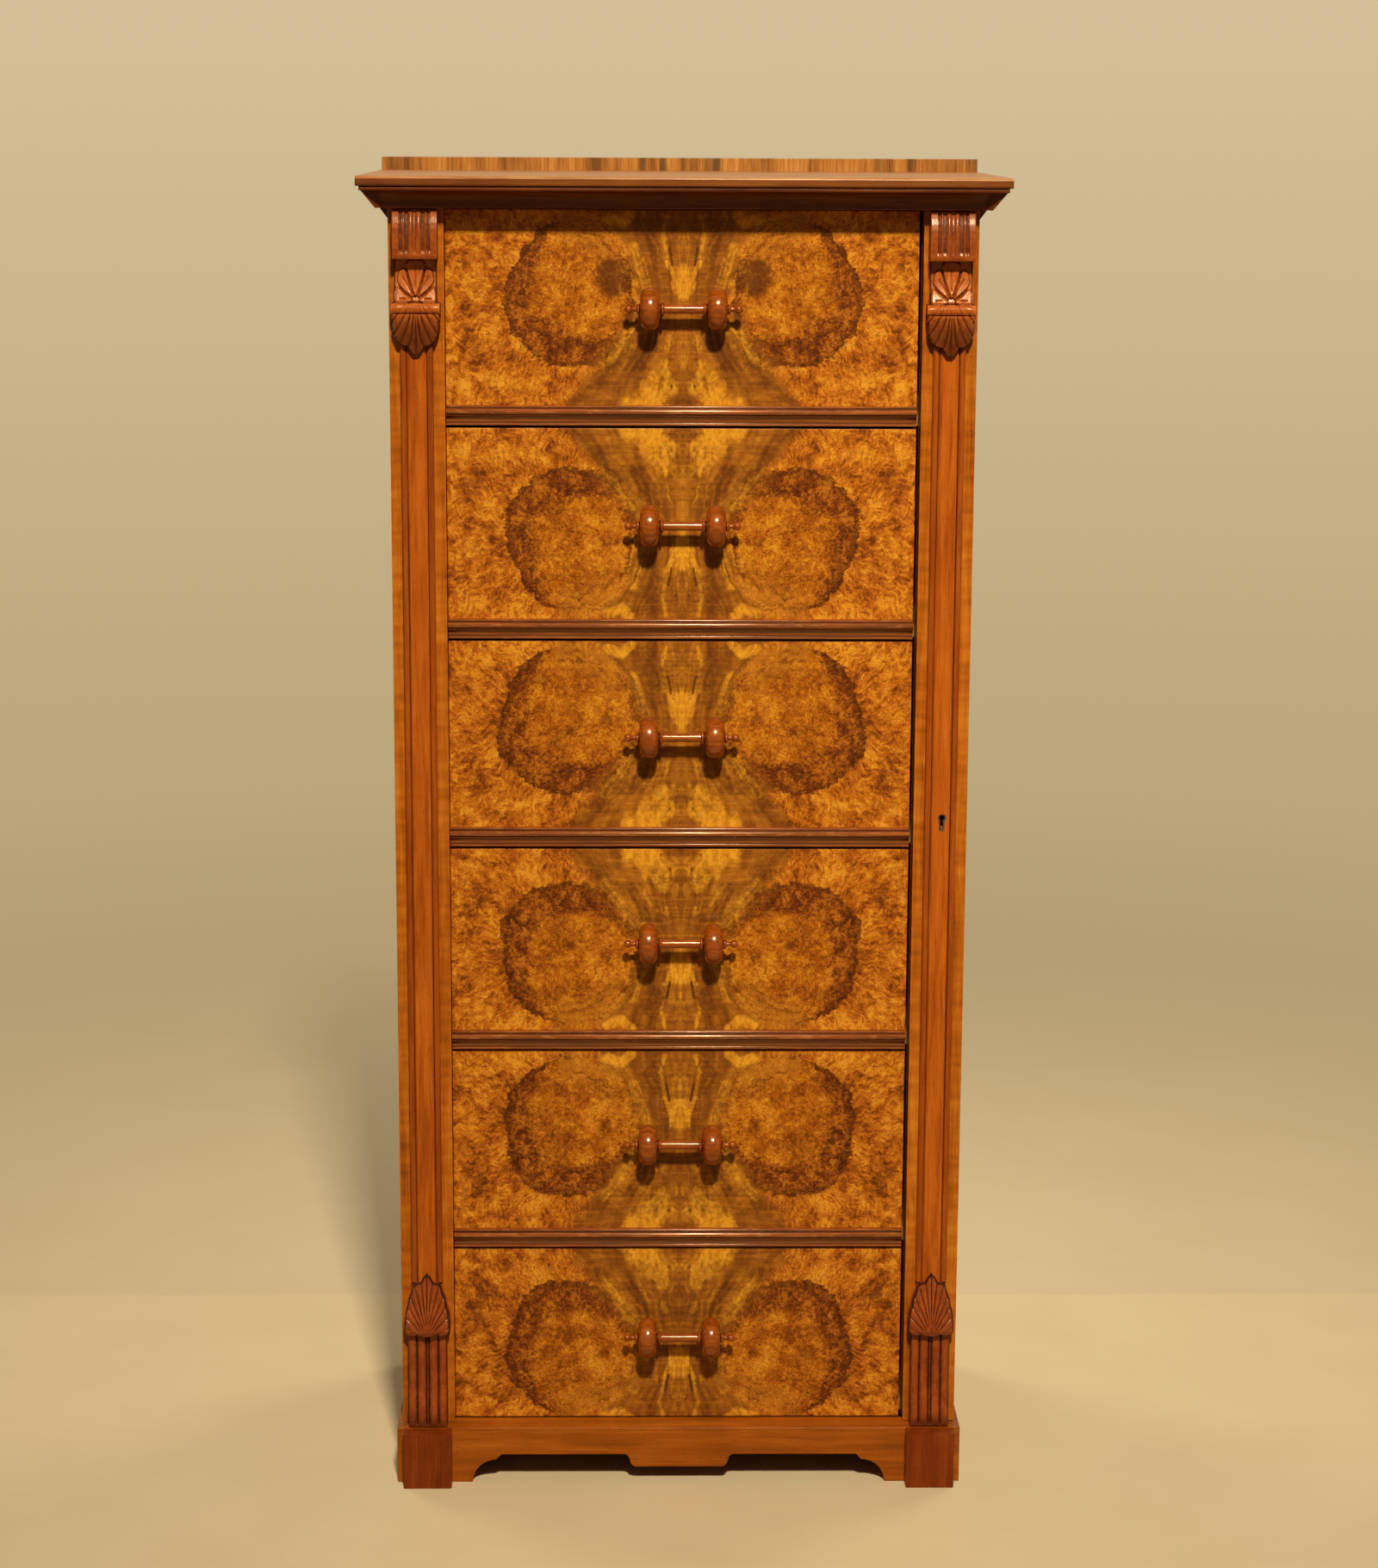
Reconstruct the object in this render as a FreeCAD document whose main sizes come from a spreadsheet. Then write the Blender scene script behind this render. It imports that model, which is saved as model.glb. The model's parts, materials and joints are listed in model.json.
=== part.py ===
import FreeCAD, Part
import math
import os
import Sketcher

# A Victorian wellington chest of six drawers in burr walnut.
# The right-hand pilaster is a flap on two pivot pins: it swings out and locks the chest with one lock.
# Frame: X to the right, Y to the back, Z up; the origin is on the floor under the middle of the chest.

os.makedirs("parts", exist_ok=True)
doc = FreeCAD.newDocument("WellingtonChest")

# Driving sizes in millimetres, one row each: name and value.
# A stand is how far a face stands forward of the face behind it, and a gap is clear air.
SIZES = (
    # Top, cornice and upstand
    ("top_width", 594.0),
    ("top_depth", 350.0),
    ("top_thickness", 9.0),
    ("top_arris_radius", 2.5),
    ("upstand_height", 12.5),
    ("upstand_thickness", 20.0),
    ("subtop_thickness", 20.0),
    ("subtop_stand", 15.0),
    ("cornice_depth", 23.0),
    ("cornice_bead_height", 4.0),
    ("cornice_bead_step", 2.5),
    ("cornice_fillet_height", 4.5),
    ("cornice_fillet_stand", 3.0),
    ("cornice_return_drop", 12.5),
    ("cornice_return_lip", 2.0),
    # Carcass
    ("carcass_width", 542.0),
    ("side_thickness", 18.0),
    ("housing_depth", 5.0),
    ("back_thickness", 10.0),
    ("back_rebate", 9.0),
    ("back_board_gap", 0.5),
    ("cornice_reach", 52.0),
    ("stile_width", 51.0),
    ("stile_stand", 10.0),
    ("dust_board_thickness", 12.0),
    ("dust_board_drop", 1.0),
    ("dust_board_gap", 0.5),
    ("guide_height", 14.0),
    ("guide_end_gap", 5.0),
    # Plinth
    ("plinth_height", 56.0),
    ("plinth_thickness", 28.0),
    ("plinth_stand", 26.5),
    ("plinth_overhang", 4.5),
    ("plinth_back_thickness", 20.0),
    ("block_width", 47.0),
    ("block_thickness", 16.5),
    ("block_edge_radius", 1.5),
    ("apron_width", 404.0),
    ("apron_height", 28.5),
    ("foot_curve", 23.0),
    ("foot_step", 5.0),
    ("drop_width", 86.0),
    ("drop_height", 15.5),
    ("drop_curve", 10.0),
    # Drawers
    ("drawer_pitch", 200.0),
    ("lowest_front_height", 174.5),
    ("plinth_gap", 1.5),
    ("drawer_gap", 2.5),
    ("soffit_gap", 1.5),
    ("front_thickness", 20.0),
    ("front_lap", 6.0),
    ("left_gap", 0.5),
    ("flap_side_gap", 3.0),
    ("guide_gap", 0.5),
    ("run_gap", 0.3),
    ("box_back_clearance", 10.0),
    ("box_side_thickness", 9.0),
    ("box_back_thickness", 8.0),
    ("box_bottom_thickness", 6.0),
    ("box_bottom_rise", 8.0),
    ("box_groove", 4.0),
    ("box_top_drop", 10.0),
    ("box_back_drop", 6.0),
    ("moulding_height", 16.0),
    ("moulding_stand", 9.0),
    ("moulding_bead", 5.0),
    ("moulding_fillet", 2.0),
    ("moulding_foot_stand", 4.0),
    # Turned handles
    ("handle_length", 108.8),
    ("handle_rise", 1.5),
    ("handle_seat", 0.8),
    ("rod_diameter", 8.6),
    ("bobbin_spacing", 62.0),
    ("bobbin_width", 18.0),
    ("bobbin_diameter", 39.0),
    ("bobbin_round", 8.0),
    ("ring_width", 3.2),
    ("neck_diameter", 4.6),
    ("ball_diameter", 7.6),
    # Pilaster strips
    ("strip_width", 30.0),
    ("strip_stand", 8.0),
    ("strip_bead", 6.0),
    ("strip_bead_foot", 5.0),
    ("strip_quirk", 1.0),
    ("strip_quirk_stand", 4.0),
    ("strip_panel_stand", 6.0),
    # Carved capitals
    ("console_width", 41.0),
    ("console_height", 45.0),
    ("console_lip", 4.5),
    ("console_top_stand", 13.0),
    ("console_lip_stand", 20.5),
    ("reed_depth", 2.5),
    ("palmette_width", 39.0),
    ("palmette_height", 37.5),
    ("palmette_top_stand", 6.0),
    ("palmette_foot_stand", 15.0),
    ("roll_diameter", 10.0),
    ("roll_length", 44.0),
    ("roll_stand", 14.0),
    ("leaf_height", 33.5),
    ("leaf_top_stand", 19.0),
    ("leaf_foot_stand", 11.5),
    ("leaf_tip_width", 15.0),
    ("leaf_tip_height", 10.0),
    # Carved corbels
    ("corbel_width", 38.0),
    ("corbel_height", 94.0),
    ("corbel_foot_height", 8.0),
    ("corbel_sweep", 40.0),
    ("corbel_foot_stand", 16.0),
    ("corbel_top_stand", 11.0),
    ("corbel_leaf_width", 45.0),
    ("corbel_leaf_height", 52.0),
    ("corbel_leaf_foot_stand", 20.0),
    ("corbel_leaf_top_stand", 11.0),
    ("corbel_tip_width", 11.0),
    ("corbel_tip_height", 9.0),
    # Flap, pivots and lock
    ("flap_thickness", 20.0),
    ("flap_inner_gap", 0.5),
    ("flap_end_gap", 1.0),
    ("flap_back_gap", 0.5),
    ("pivot_radius", 10.0),
    ("pin_diameter", 5.0),
    ("pin_bite", 8.0),
    ("pin_fit", 0.08),
    ("pin_end_gap", 0.3),
    ("lock_stile_thickness", 20.0),
    ("keyhole_level", 665.0),
    ("keyhole_offset", 1.4),
    ("keyhole_round", 5.5),
    ("keyhole_slot_width", 2.6),
    ("keyhole_slot_drop", 9.0),
    ("liner_wall", 1.3),
    ("liner_depth", 3.5),
    ("lock_inset", 12.0),
    ("lock_plate_width", 24.0),
    ("lock_plate_height", 50.0),
    ("lock_plate_thickness", 12.0),
    ("nose_width", 18.0),
    ("nose_height", 24.0),
    ("nose_depth", 12.0),
    ("nose_swing", 8.0),
    ("nose_gap", 0.5),
    ("bolt_length", 16.0),
    ("bolt_height", 12.0),
    ("bolt_thickness", 4.0),
    ("bolt_gap", 0.2),
    ("keyhole_sink", 6.0),
    # Shared by all cuts
    ("overrun", 10.0),
)

DRAWER_COUNT = 6
BACK_BOARD_COUNT = 4
TAIL_COUNT = 4

# Dovetails, as shares of the space that each tail has along the joint
TAIL_ROOT_SHARE = 0.24
TAIL_TIP_SHARE = 0.34

# Bulges: the height of an arc as a share of half its chord, so 1 is a half round
HALF_ROUND_SHARE = 1.0
QUARTER_ROUND_SHARE = 0.4142
OGEE_SHARE = 0.30
COVE_SHARE = 0.34
STRIP_BEAD_SHARE = 0.75
CORNICE_BEAD_SHARE = 0.5
CONSOLE_SHARE = 0.36
PALMETTE_SWEEP_SHARE = 0.22
LEAF_SWELL_SHARE = 0.25
CORBEL_SWEEP_SHARE = 0.12
CORBEL_LEAF_SWELL_SHARE = 0.30
LOBE_SHARE = 0.28
LEAF_EDGE_SHARE = 0.08
RING_SHARE = 0.75
MOULDING_BEAD_SHARE = 0.8
BOLT_DEPTH_SHARE = 0.75
ROLL_DROP_SHARE = 0.75

# Reeds across a console and a corbel: from and to, as shares of half its width
CONSOLE_REED_SHARES = (
    (-1.0, -0.70), (-0.52, -0.44), (-0.27, -0.05), (0.05, 0.27), (0.44, 0.52), (0.70, 1.0),
)
CORBEL_REED_SHARES = ((-1.0, -0.62), (-0.50, -0.12), (0.12, 0.50), (0.62, 1.0))

# Right half of each carved outline: share of half the width, and share of the height
PALMETTE_LOBE_SHARES = ((0.28, 0.97), (0.74, 0.84), (0.98, 0.46), (1.0, 0.0))
LEAF_EDGE_SHARES = ((1.0, 1.0), (0.96, 0.58), (0.72, 0.06), (0.36, 0.0))
CORBEL_LEAF_EDGE_SHARES = ((0.50, 1.0), (0.64, 0.95), (0.80, 0.64), (0.97, 0.34), (1.0, 0.16), (0.94, 0.0))


class Length:
    """A length that carries its number in millimetres and the sheet formula behind it."""

    def __init__(self, value, formula):
        self.value = value
        self.formula = formula

    def __add__(self, other):
        return Length(self.value + other.value, "%s + %s" % (self.formula, other.formula))

    def __sub__(self, other):
        return Length(self.value - other.value, "%s - (%s)" % (self.formula, other.formula))

    def __neg__(self):
        return Length(-self.value, "-(%s)" % self.formula)

    def __mul__(self, share):
        return Length(self.value * share, "(%s) * %.6f" % (self.formula, share))

    def __truediv__(self, count):
        return Length(self.value / count, "(%s) / %.1f" % (self.formula, count))

    def over(self, other):
        """The ratio of two lengths."""
        return Length(self.value / other.value, "(%s) / (%s)" % (self.formula, other.formula))

    def times(self, ratio):
        """This length by the ratio of two others."""
        return Length(self.value * ratio.value, "(%s) * (%s)" % (self.formula, ratio.formula))


def write_sheet():
    """Put every driving size in the sheet and hand the sizes back by name."""
    sheet = doc.addObject("Spreadsheet::Sheet", "Size")
    named = {}
    for row, (name, value) in enumerate(SIZES, start=1):
        sheet.set("A%d" % row, name)
        sheet.set("B%d" % row, str(value))
        sheet.setAlias("B%d" % row, name)
        named[name] = Length(value, "Size.%s" % name)
    doc.recompute()
    return named


size = write_sheet()
ZERO = Length(0.0, "0")
pieces = []


def piece(name, thing):
    """Register a finished sub-part under the name of its file."""
    thing.Label = name
    pieces.append(thing)
    return thing


def block(name, x_span, y_span, z_span):
    """A plain board between two places along each axis."""
    board = doc.addObject("Part::Box", name)
    spans = (("Length", "x", x_span), ("Width", "y", y_span), ("Height", "z", z_span))
    for side, place, (low, high) in spans:
        board.setExpression(side, (high - low).formula)
        board.setExpression("Placement.Base.%s" % place, low.formula)
    return board


def cut(name, base, tools):
    """The base less every tool."""
    tool = tools[0]
    if len(tools) > 1:
        tool = gather(name + "_tools", tools)
    result = doc.addObject("Part::Cut", name)
    result.Base = base
    result.Tool = tool
    return result


def gather(name, members):
    """Several solids that share one node."""
    group = doc.addObject("Part::Compound", name)
    group.Links = members
    return group


def mirrored(name, source):
    """The same piece on the other side of the chest."""
    twin = doc.addObject("Part::Mirroring", name)
    twin.Source = source
    twin.Normal = FreeCAD.Vector(1, 0, 0)
    return twin


def new_body(name):
    return doc.addObject("PartDesign::Body", name)


def arc_edge(start, end, bulge):
    """An arc between two points; a positive bulge turns left on the way."""
    chord = end.sub(start)
    height = chord.Length / 2.0 * bulge
    left = FreeCAD.Vector(-chord.y, chord.x, 0).normalize()
    middle = (start + end) / 2.0 - left * height
    return Part.Arc(start, middle, end)


def chord_formula(start, end):
    across = (end[0] - start[0]).formula
    along = (end[1] - start[1]).formula
    return "sqrt((%s) ^ 2 + (%s) ^ 2)" % (across, along)


def pin_point(sketch, edge, end, place):
    """Tie one end of an edge to its place in the sketch."""
    for axis, line, length in (("X", -2, place[0]), ("Y", -1, place[1])):
        if length.formula == ZERO.formula:
            sketch.addConstraint(Sketcher.Constraint("PointOnObject", edge, end, line))
        else:
            tie = Sketcher.Constraint("Distance" + axis, -1, 1, edge, end, length.value)
            number = sketch.addConstraint(tie)
            sketch.setExpression("Constraints[%d]" % number, length.formula)


def draw(sketch, corners):
    """Draw a closed outline. A corner is (x, y), or (x, y, bulge) where an arc leads to it."""
    count = len(corners)
    ends = []
    for number in range(count):
        here = corners[number]
        before = corners[number - 1]
        start = FreeCAD.Vector(before[0].value, before[1].value, 0)
        end = FreeCAD.Vector(here[0].value, here[1].value, 0)
        if len(here) == 2:
            edge = sketch.addGeometry(Part.LineSegment(start, end), False)
            ends.append((edge, 1, 2))
            continue
        bulge = here[2]
        edge = sketch.addGeometry(arc_edge(start, end, bulge), False)
        ends.append((edge, 1, 2) if bulge > 0 else (edge, 2, 1))
    joints = []
    for number in range(count):
        edge, first, last = ends[number]
        next_edge, next_first, next_last = ends[(number + 1) % count]
        joints.append(Sketcher.Constraint("Coincident", edge, last, next_edge, next_first))
    sketch.addConstraint(joints)
    for number in range(count):
        edge, first, last = ends[number]
        pin_point(sketch, edge, last, corners[number])
    for number in range(count):
        here = corners[number]
        if len(here) == 2:
            continue
        bulge = abs(here[2])
        edge = ends[number][0]
        if bulge == HALF_ROUND_SHARE:
            sketch.addConstraint(Sketcher.Constraint("Symmetric", edge, 1, edge, 2, edge, 3))
            continue
        before = corners[number - 1]
        radius_share = (1.0 + bulge * bulge) / (4.0 * bulge)
        span = math.hypot(here[0].value - before[0].value, here[1].value - before[1].value)
        slot = sketch.addConstraint(Sketcher.Constraint("Radius", edge, span * radius_share))
        formula = "%s * %.6f" % (chord_formula(before, here), radius_share)
        sketch.setExpression("Constraints[%d]" % slot, formula)


def place_sketch(body, plane, offset, outlines, rise=ZERO):
    """A sketch parallel to one of the body's own planes, at a distance along its normal."""
    sketch = body.newObject("Sketcher::SketchObject", body.Name + "_sketch")
    for feature in body.Origin.OriginFeatures:
        if feature.Role == plane:
            sketch.AttachmentSupport = (feature, [""])
    sketch.MapMode = "FlatFace"
    sketch.setExpression("AttachmentOffset.Base.z", offset.formula)
    sketch.setExpression("AttachmentOffset.Base.y", rise.formula)
    for corners in outlines:
        draw(sketch, corners)
    return sketch


def pad(body, plane, low, high, *outlines):
    """Add material between two places along the plane's axis."""
    offset = -high if plane == "XZ_Plane" else low
    feature = body.newObject("PartDesign::Pad", body.Name + "_pad")
    feature.Profile = place_sketch(body, plane, offset, outlines)
    feature.setExpression("Length", (high - low).formula)
    return feature


def pocket(body, plane, low, high, *outlines):
    """Take material away between two places along the plane's axis."""
    offset = -low if plane == "XZ_Plane" else high
    feature = body.newObject("PartDesign::Pocket", body.Name + "_pocket")
    feature.Profile = place_sketch(body, plane, offset, outlines)
    feature.setExpression("Length", (high - low).formula)
    return feature


def rectangle(x_low, x_high, y_low, y_high):
    return ((x_low, y_low), (x_high, y_low), (x_high, y_high), (x_low, y_high))


def circle(x, y, radius):
    return ((x + radius, y, HALF_ROUND_SHARE), (x - radius, y, HALF_ROUND_SHARE))


# Places across the chest
half_top = size["top_width"] / 2.0
half_carcass = size["carcass_width"] / 2.0
inner_side = half_carcass - size["side_thickness"]
opening_half = half_carcass - size["stile_width"]
pilaster_middle = half_carcass - size["stile_width"] / 2.0
front_left = -opening_half + size["left_gap"]
front_right = opening_half - size["flap_side_gap"]
plinth_half = half_carcass + size["plinth_overhang"]
plinth_inner = plinth_half - size["plinth_thickness"]

# Places from front to back
lip_front = -size["top_depth"] / 2.0
chest_back = size["top_depth"] / 2.0
back_front = chest_back - size["back_thickness"]
upstand_front = chest_back - size["upstand_thickness"]
drawer_face = lip_front + size["cornice_reach"]
stile_face = drawer_face - size["stile_stand"]
subtop_front = stile_face - size["subtop_stand"]
plinth_face = drawer_face - size["plinth_stand"]
plinth_front_back = plinth_face + size["plinth_thickness"]
block_face = plinth_face - size["block_thickness"]
flap_back = stile_face + size["flap_thickness"]
lock_stile_front = flap_back + size["flap_back_gap"]
side_front = lock_stile_front + size["lock_stile_thickness"]
front_back = drawer_face + size["front_thickness"]
dust_board_front = front_back + size["dust_board_gap"]
box_rear = back_front - size["box_back_clearance"]
strip_face = stile_face - size["strip_stand"]

# Levels
plinth_top = size["plinth_height"]
lowest_front_top = plinth_top + size["plinth_gap"] + size["lowest_front_height"]
soffit = lowest_front_top + size["drawer_pitch"] * (DRAWER_COUNT - 1) + size["soffit_gap"]
subtop_top = soffit + size["subtop_thickness"]
chest_top = subtop_top + size["top_thickness"]
upstand_top = chest_top + size["upstand_height"]
flap_foot = plinth_top + size["flap_end_gap"]
flap_head = soffit - size["flap_end_gap"]

# Flap pivot
pivot_x = half_carcass - size["pivot_radius"]
pivot_y = flap_back - size["pivot_radius"]
pin_radius = size["pin_diameter"] / 2.0
pin_hole_radius = pin_radius + size["pin_fit"]


def front_top(number):
    """Top edge of a drawer front; drawer 1 is the highest."""
    return lowest_front_top + size["drawer_pitch"] * (DRAWER_COUNT - number)


def front_foot(number):
    if number == DRAWER_COUNT:
        return plinth_top + size["plinth_gap"]
    return front_top(number + 1) + size["drawer_gap"]


def dust_board_foot(number):
    """Underside of the board that carries a drawer; the lowest board is the carcass bottom."""
    if number == DRAWER_COUNT:
        return plinth_top
    return front_top(number + 1) + size["dust_board_drop"]


def dust_board_top(number):
    return dust_board_foot(number) + size["dust_board_thickness"]


# Dust boards and their guides

def make_dust_boards():
    """Each board is housed in the sides and notched round the stiles."""
    edge = inner_side + size["housing_depth"]
    plan = (
        (-opening_half, dust_board_front),
        (opening_half, dust_board_front),
        (opening_half, side_front),
        (edge, side_front),
        (edge, back_front),
        (-edge, back_front),
        (-edge, side_front),
        (-opening_half, side_front),
    )
    boards = []
    for number in range(1, DRAWER_COUNT + 1):
        body = new_body("dust_board_%d" % number)
        pad(body, "XY_Plane", dust_board_foot(number), dust_board_top(number), plan)
        boards.append(body)
    return piece("dust_boards", gather("dust_boards", boards))


def make_drawer_guides():
    """Two strips on each board keep its drawer straight."""
    start = side_front + size["guide_end_gap"]
    end = back_front - size["guide_end_gap"]
    right_edge = front_right + size["guide_gap"]
    guides = []
    for number in range(1, DRAWER_COUNT + 1):
        foot = dust_board_top(number)
        head = foot + size["guide_height"]
        for hand, x_span in (("left", (-inner_side, -opening_half)), ("right", (right_edge, inner_side))):
            guides.append(block("%s_guide_%d" % (hand, number), x_span, (start, end), (foot, head)))
    piece("drawer_guides", gather("drawer_guides", guides))


def make_sides(dust_boards):
    """Side boards, housed for the dust boards and rebated for the back."""
    rebate_edge = inner_side + size["back_rebate"]
    rebate = block("back_rebate", (-rebate_edge, rebate_edge), (back_front, chest_back),
                   (plinth_top, soffit))
    spans = {"left_side": (-half_carcass, -inner_side), "right_side": (inner_side, half_carcass)}
    for name, x_span in spans.items():
        board = block(name + "_board", x_span, (side_front, chest_back), (plinth_top, soffit))
        piece(name, cut(name, board, [dust_boards, rebate]))


def make_back():
    """Upright boards with a small gap between them, nailed into the rebates."""
    half = inner_side + size["back_rebate"]
    width = half * 2.0 / BACK_BOARD_COUNT
    gap = size["back_board_gap"] / 2.0
    boards = []
    for number in range(BACK_BOARD_COUNT):
        low = -half + width * number
        high = low + width
        if number > 0:
            low = low + gap
        if number < BACK_BOARD_COUNT - 1:
            high = high - gap
        boards.append(block("back_board_%d" % (number + 1), (low, high), (back_front, chest_back),
                            (plinth_top, subtop_top)))
    piece("back_boards", gather("back_boards", boards))


# Top and cornice

def make_tops():
    """The carcass top, the top board over it, and the upstand that stands behind the top board."""
    subtop = block("subtop_board", (-half_carcass, half_carcass), (subtop_front, back_front),
                   (soffit, subtop_top))
    hole = doc.addObject("Part::Cylinder", "top_pin_hole")
    hole.setExpression("Radius", pin_radius.formula)
    hole.setExpression("Height", size["pin_bite"].formula)
    hole.setExpression("Placement.Base.x", pivot_x.formula)
    hole.setExpression("Placement.Base.y", pivot_y.formula)
    hole.setExpression("Placement.Base.z", soffit.formula)
    piece("carcass_top", cut("carcass_top", subtop, [hole]))

    arris = size["top_arris_radius"]
    top = new_body("top_board")
    section = (
        (upstand_front, subtop_top),
        (upstand_front, chest_top),
        (lip_front + arris, chest_top),
        (lip_front, chest_top - arris, QUARTER_ROUND_SHARE),
        (lip_front, subtop_top + arris),
        (lip_front + arris, subtop_top, QUARTER_ROUND_SHARE),
    )
    pad(top, "YZ_Plane", -half_top, half_top, section)
    piece("top_board", top)

    piece("back_upstand", block("back_upstand", (-half_top, half_top), (upstand_front, chest_back),
                                (subtop_top, upstand_top)))


def make_cornice_front():
    """Bead, cove and fillet under the top, mitred at both ends."""
    reach = half_carcass + size["cornice_depth"]
    front = subtop_front - size["cornice_depth"]
    bead_foot = subtop_top - size["cornice_bead_height"]
    cove_start = front + size["cornice_bead_step"]
    fillet_top = soffit + size["cornice_fillet_height"]
    fillet_front = subtop_front - size["cornice_fillet_stand"]
    body = new_body("cornice_front")
    section = (
        (subtop_front, subtop_top),
        (front, subtop_top),
        (front, bead_foot, CORNICE_BEAD_SHARE),
        (cove_start, bead_foot),
        (fillet_front, fillet_top, -COVE_SHARE),
        (fillet_front, soffit),
        (subtop_front, soffit),
    )
    pad(body, "YZ_Plane", -reach, reach, section)
    low = soffit - size["overrun"]
    high = subtop_top + size["overrun"]
    for side in (1.0, -1.0):
        outer = reach * side
        mitre = ((half_carcass * side, subtop_front), (outer, front), (outer, subtop_front))
        pocket(body, "XY_Plane", low, high, mitre)
    piece("cornice_front", body)


def make_cornice_returns():
    """Straight splays down both sides; behind the pilasters they reach below the soffit."""
    reach = half_carcass + size["cornice_depth"]
    front = subtop_front - size["cornice_depth"]
    foot = soffit - size["cornice_return_drop"]
    lip_foot = subtop_top - size["cornice_return_lip"]
    slope = size["cornice_depth"].over(lip_foot - foot)
    splay_at_soffit = half_carcass + size["cornice_return_drop"].times(slope)
    body = new_body("cornice_return_right")
    upper = (
        (half_carcass, soffit),
        (splay_at_soffit, soffit),
        (reach, lip_foot),
        (reach, subtop_top),
        (half_carcass, subtop_top),
    )
    lower = ((half_carcass, foot), (splay_at_soffit, soffit), (half_carcass, soffit))
    pad(body, "XZ_Plane", front, chest_back, upper)
    corner = ((half_carcass, front), (reach, front), (half_carcass, subtop_front))
    pocket(body, "XY_Plane", soffit - size["overrun"], subtop_top + size["overrun"], corner)
    pad(body, "XZ_Plane", lock_stile_front, chest_back, lower)
    twin = mirrored("cornice_return_left", body)
    piece("cornice_returns", gather("cornice_returns", [body, twin]))


# Plinth

def apron_outline():
    """The cut-out under the front: a quarter round at each foot and a drop in the middle."""
    foot = size["apron_width"] / 2.0
    curve = foot - size["foot_curve"]
    step = curve - size["foot_step"]
    drop = size["drop_width"] / 2.0
    slope = drop + size["drop_curve"]
    middle_x = drop + size["drop_curve"] / 2.0
    middle_z = (size["apron_height"] + size["drop_height"]) / 2.0
    under = -size["overrun"]
    return (
        (-foot, under),
        (foot, under),
        (foot, ZERO),
        (curve, size["foot_curve"], QUARTER_ROUND_SHARE),
        (step, size["apron_height"]),
        (slope, size["apron_height"]),
        (middle_x, middle_z, OGEE_SHARE),
        (drop, size["drop_height"], -OGEE_SHARE),
        (-drop, size["drop_height"]),
        (-middle_x, middle_z, -OGEE_SHARE),
        (-slope, size["apron_height"], OGEE_SHARE),
        (-step, size["apron_height"]),
        (-curve, size["foot_curve"]),
        (-foot, ZERO, QUARTER_ROUND_SHARE),
    )


def make_plinth():
    front = new_body("plinth_front")
    plan = (
        (-plinth_half, plinth_face),
        (plinth_half, plinth_face),
        (plinth_inner, plinth_front_back),
        (-plinth_inner, plinth_front_back),
    )
    pad(front, "XY_Plane", ZERO, plinth_top, plan)
    low = plinth_face - size["overrun"]
    high = plinth_front_back + size["overrun"]
    pocket(front, "XZ_Plane", low, high, apron_outline())
    piece("plinth_front", front)

    side_plan = (
        (plinth_half, plinth_face),
        (plinth_half, chest_back),
        (plinth_inner, chest_back),
        (plinth_inner, plinth_front_back),
    )
    right = new_body("plinth_right")
    pad(right, "XY_Plane", ZERO, plinth_top, side_plan)
    left = mirrored("plinth_left", right)
    hole = doc.addObject("Part::Cylinder", "foot_pin_hole")
    hole.setExpression("Radius", pin_radius.formula)
    hole.setExpression("Height", size["pin_bite"].formula)
    hole.setExpression("Placement.Base.x", pivot_x.formula)
    hole.setExpression("Placement.Base.y", pivot_y.formula)
    hole.setExpression("Placement.Base.z", (plinth_top - size["pin_bite"]).formula)
    right_bored = cut("plinth_right_bored", right, [hole])
    rail_front = chest_back - size["plinth_back_thickness"]
    rail = block("plinth_back", (-plinth_inner, plinth_inner), (rail_front, chest_back), (ZERO, plinth_top))
    piece("plinth_sides", gather("plinth_sides", [left, right_bored, rail]))

    half_block = size["block_width"] / 2.0
    edge = size["block_edge_radius"]
    left_x = pilaster_middle - half_block
    right_x = pilaster_middle + half_block
    block_plan = (
        (left_x, plinth_face),
        (left_x, block_face + edge),
        (left_x + edge, block_face, QUARTER_ROUND_SHARE),
        (right_x - edge, block_face),
        (right_x, block_face + edge, QUARTER_ROUND_SHARE),
        (right_x, plinth_face),
    )
    right_block = new_body("plinth_block_right")
    pad(right_block, "XY_Plane", ZERO, plinth_top, block_plan)
    left_block = mirrored("plinth_block_left", right_block)
    piece("plinth_blocks", gather("plinth_blocks", [left_block, right_block]))


# Pilasters

def keyhole_outline(spare):
    """The round eye and straight slot of the keyhole, grown by a wall or by nothing."""
    x = pilaster_middle + size["keyhole_offset"]
    radius = size["keyhole_round"] / 2.0 + spare
    half_slot = size["keyhole_slot_width"] / 2.0 + spare
    eye = size["keyhole_level"]
    foot = eye - size["keyhole_slot_drop"] - spare
    return (
        (x + radius, eye),
        (x - radius, eye, HALF_ROUND_SHARE),
        (x - half_slot, eye - radius),
        (x - half_slot, foot),
        (x + half_slot, foot, HALF_ROUND_SHARE),
        (x + half_slot, eye - radius),
    )


def strip_plan(middle):
    """Cross-section of the applied strip: a bead down each edge and a flat panel between quirks."""
    half = size["strip_width"] / 2.0
    bead = half - size["strip_bead"]
    panel = bead - size["strip_quirk"]
    bead_foot = stile_face - size["strip_bead_foot"]
    quirk_floor = stile_face - size["strip_quirk_stand"]
    panel_face = stile_face - size["strip_panel_stand"]
    return (
        (middle - half, stile_face),
        (middle - half, bead_foot),
        (middle - bead, bead_foot, STRIP_BEAD_SHARE),
        (middle - bead, quirk_floor),
        (middle - panel, quirk_floor),
        (middle - panel, panel_face),
        (middle + panel, panel_face),
        (middle + panel, quirk_floor),
        (middle + bead, quirk_floor),
        (middle + bead, bead_foot),
        (middle + half, bead_foot, STRIP_BEAD_SHARE),
        (middle + half, stile_face),
    )


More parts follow.
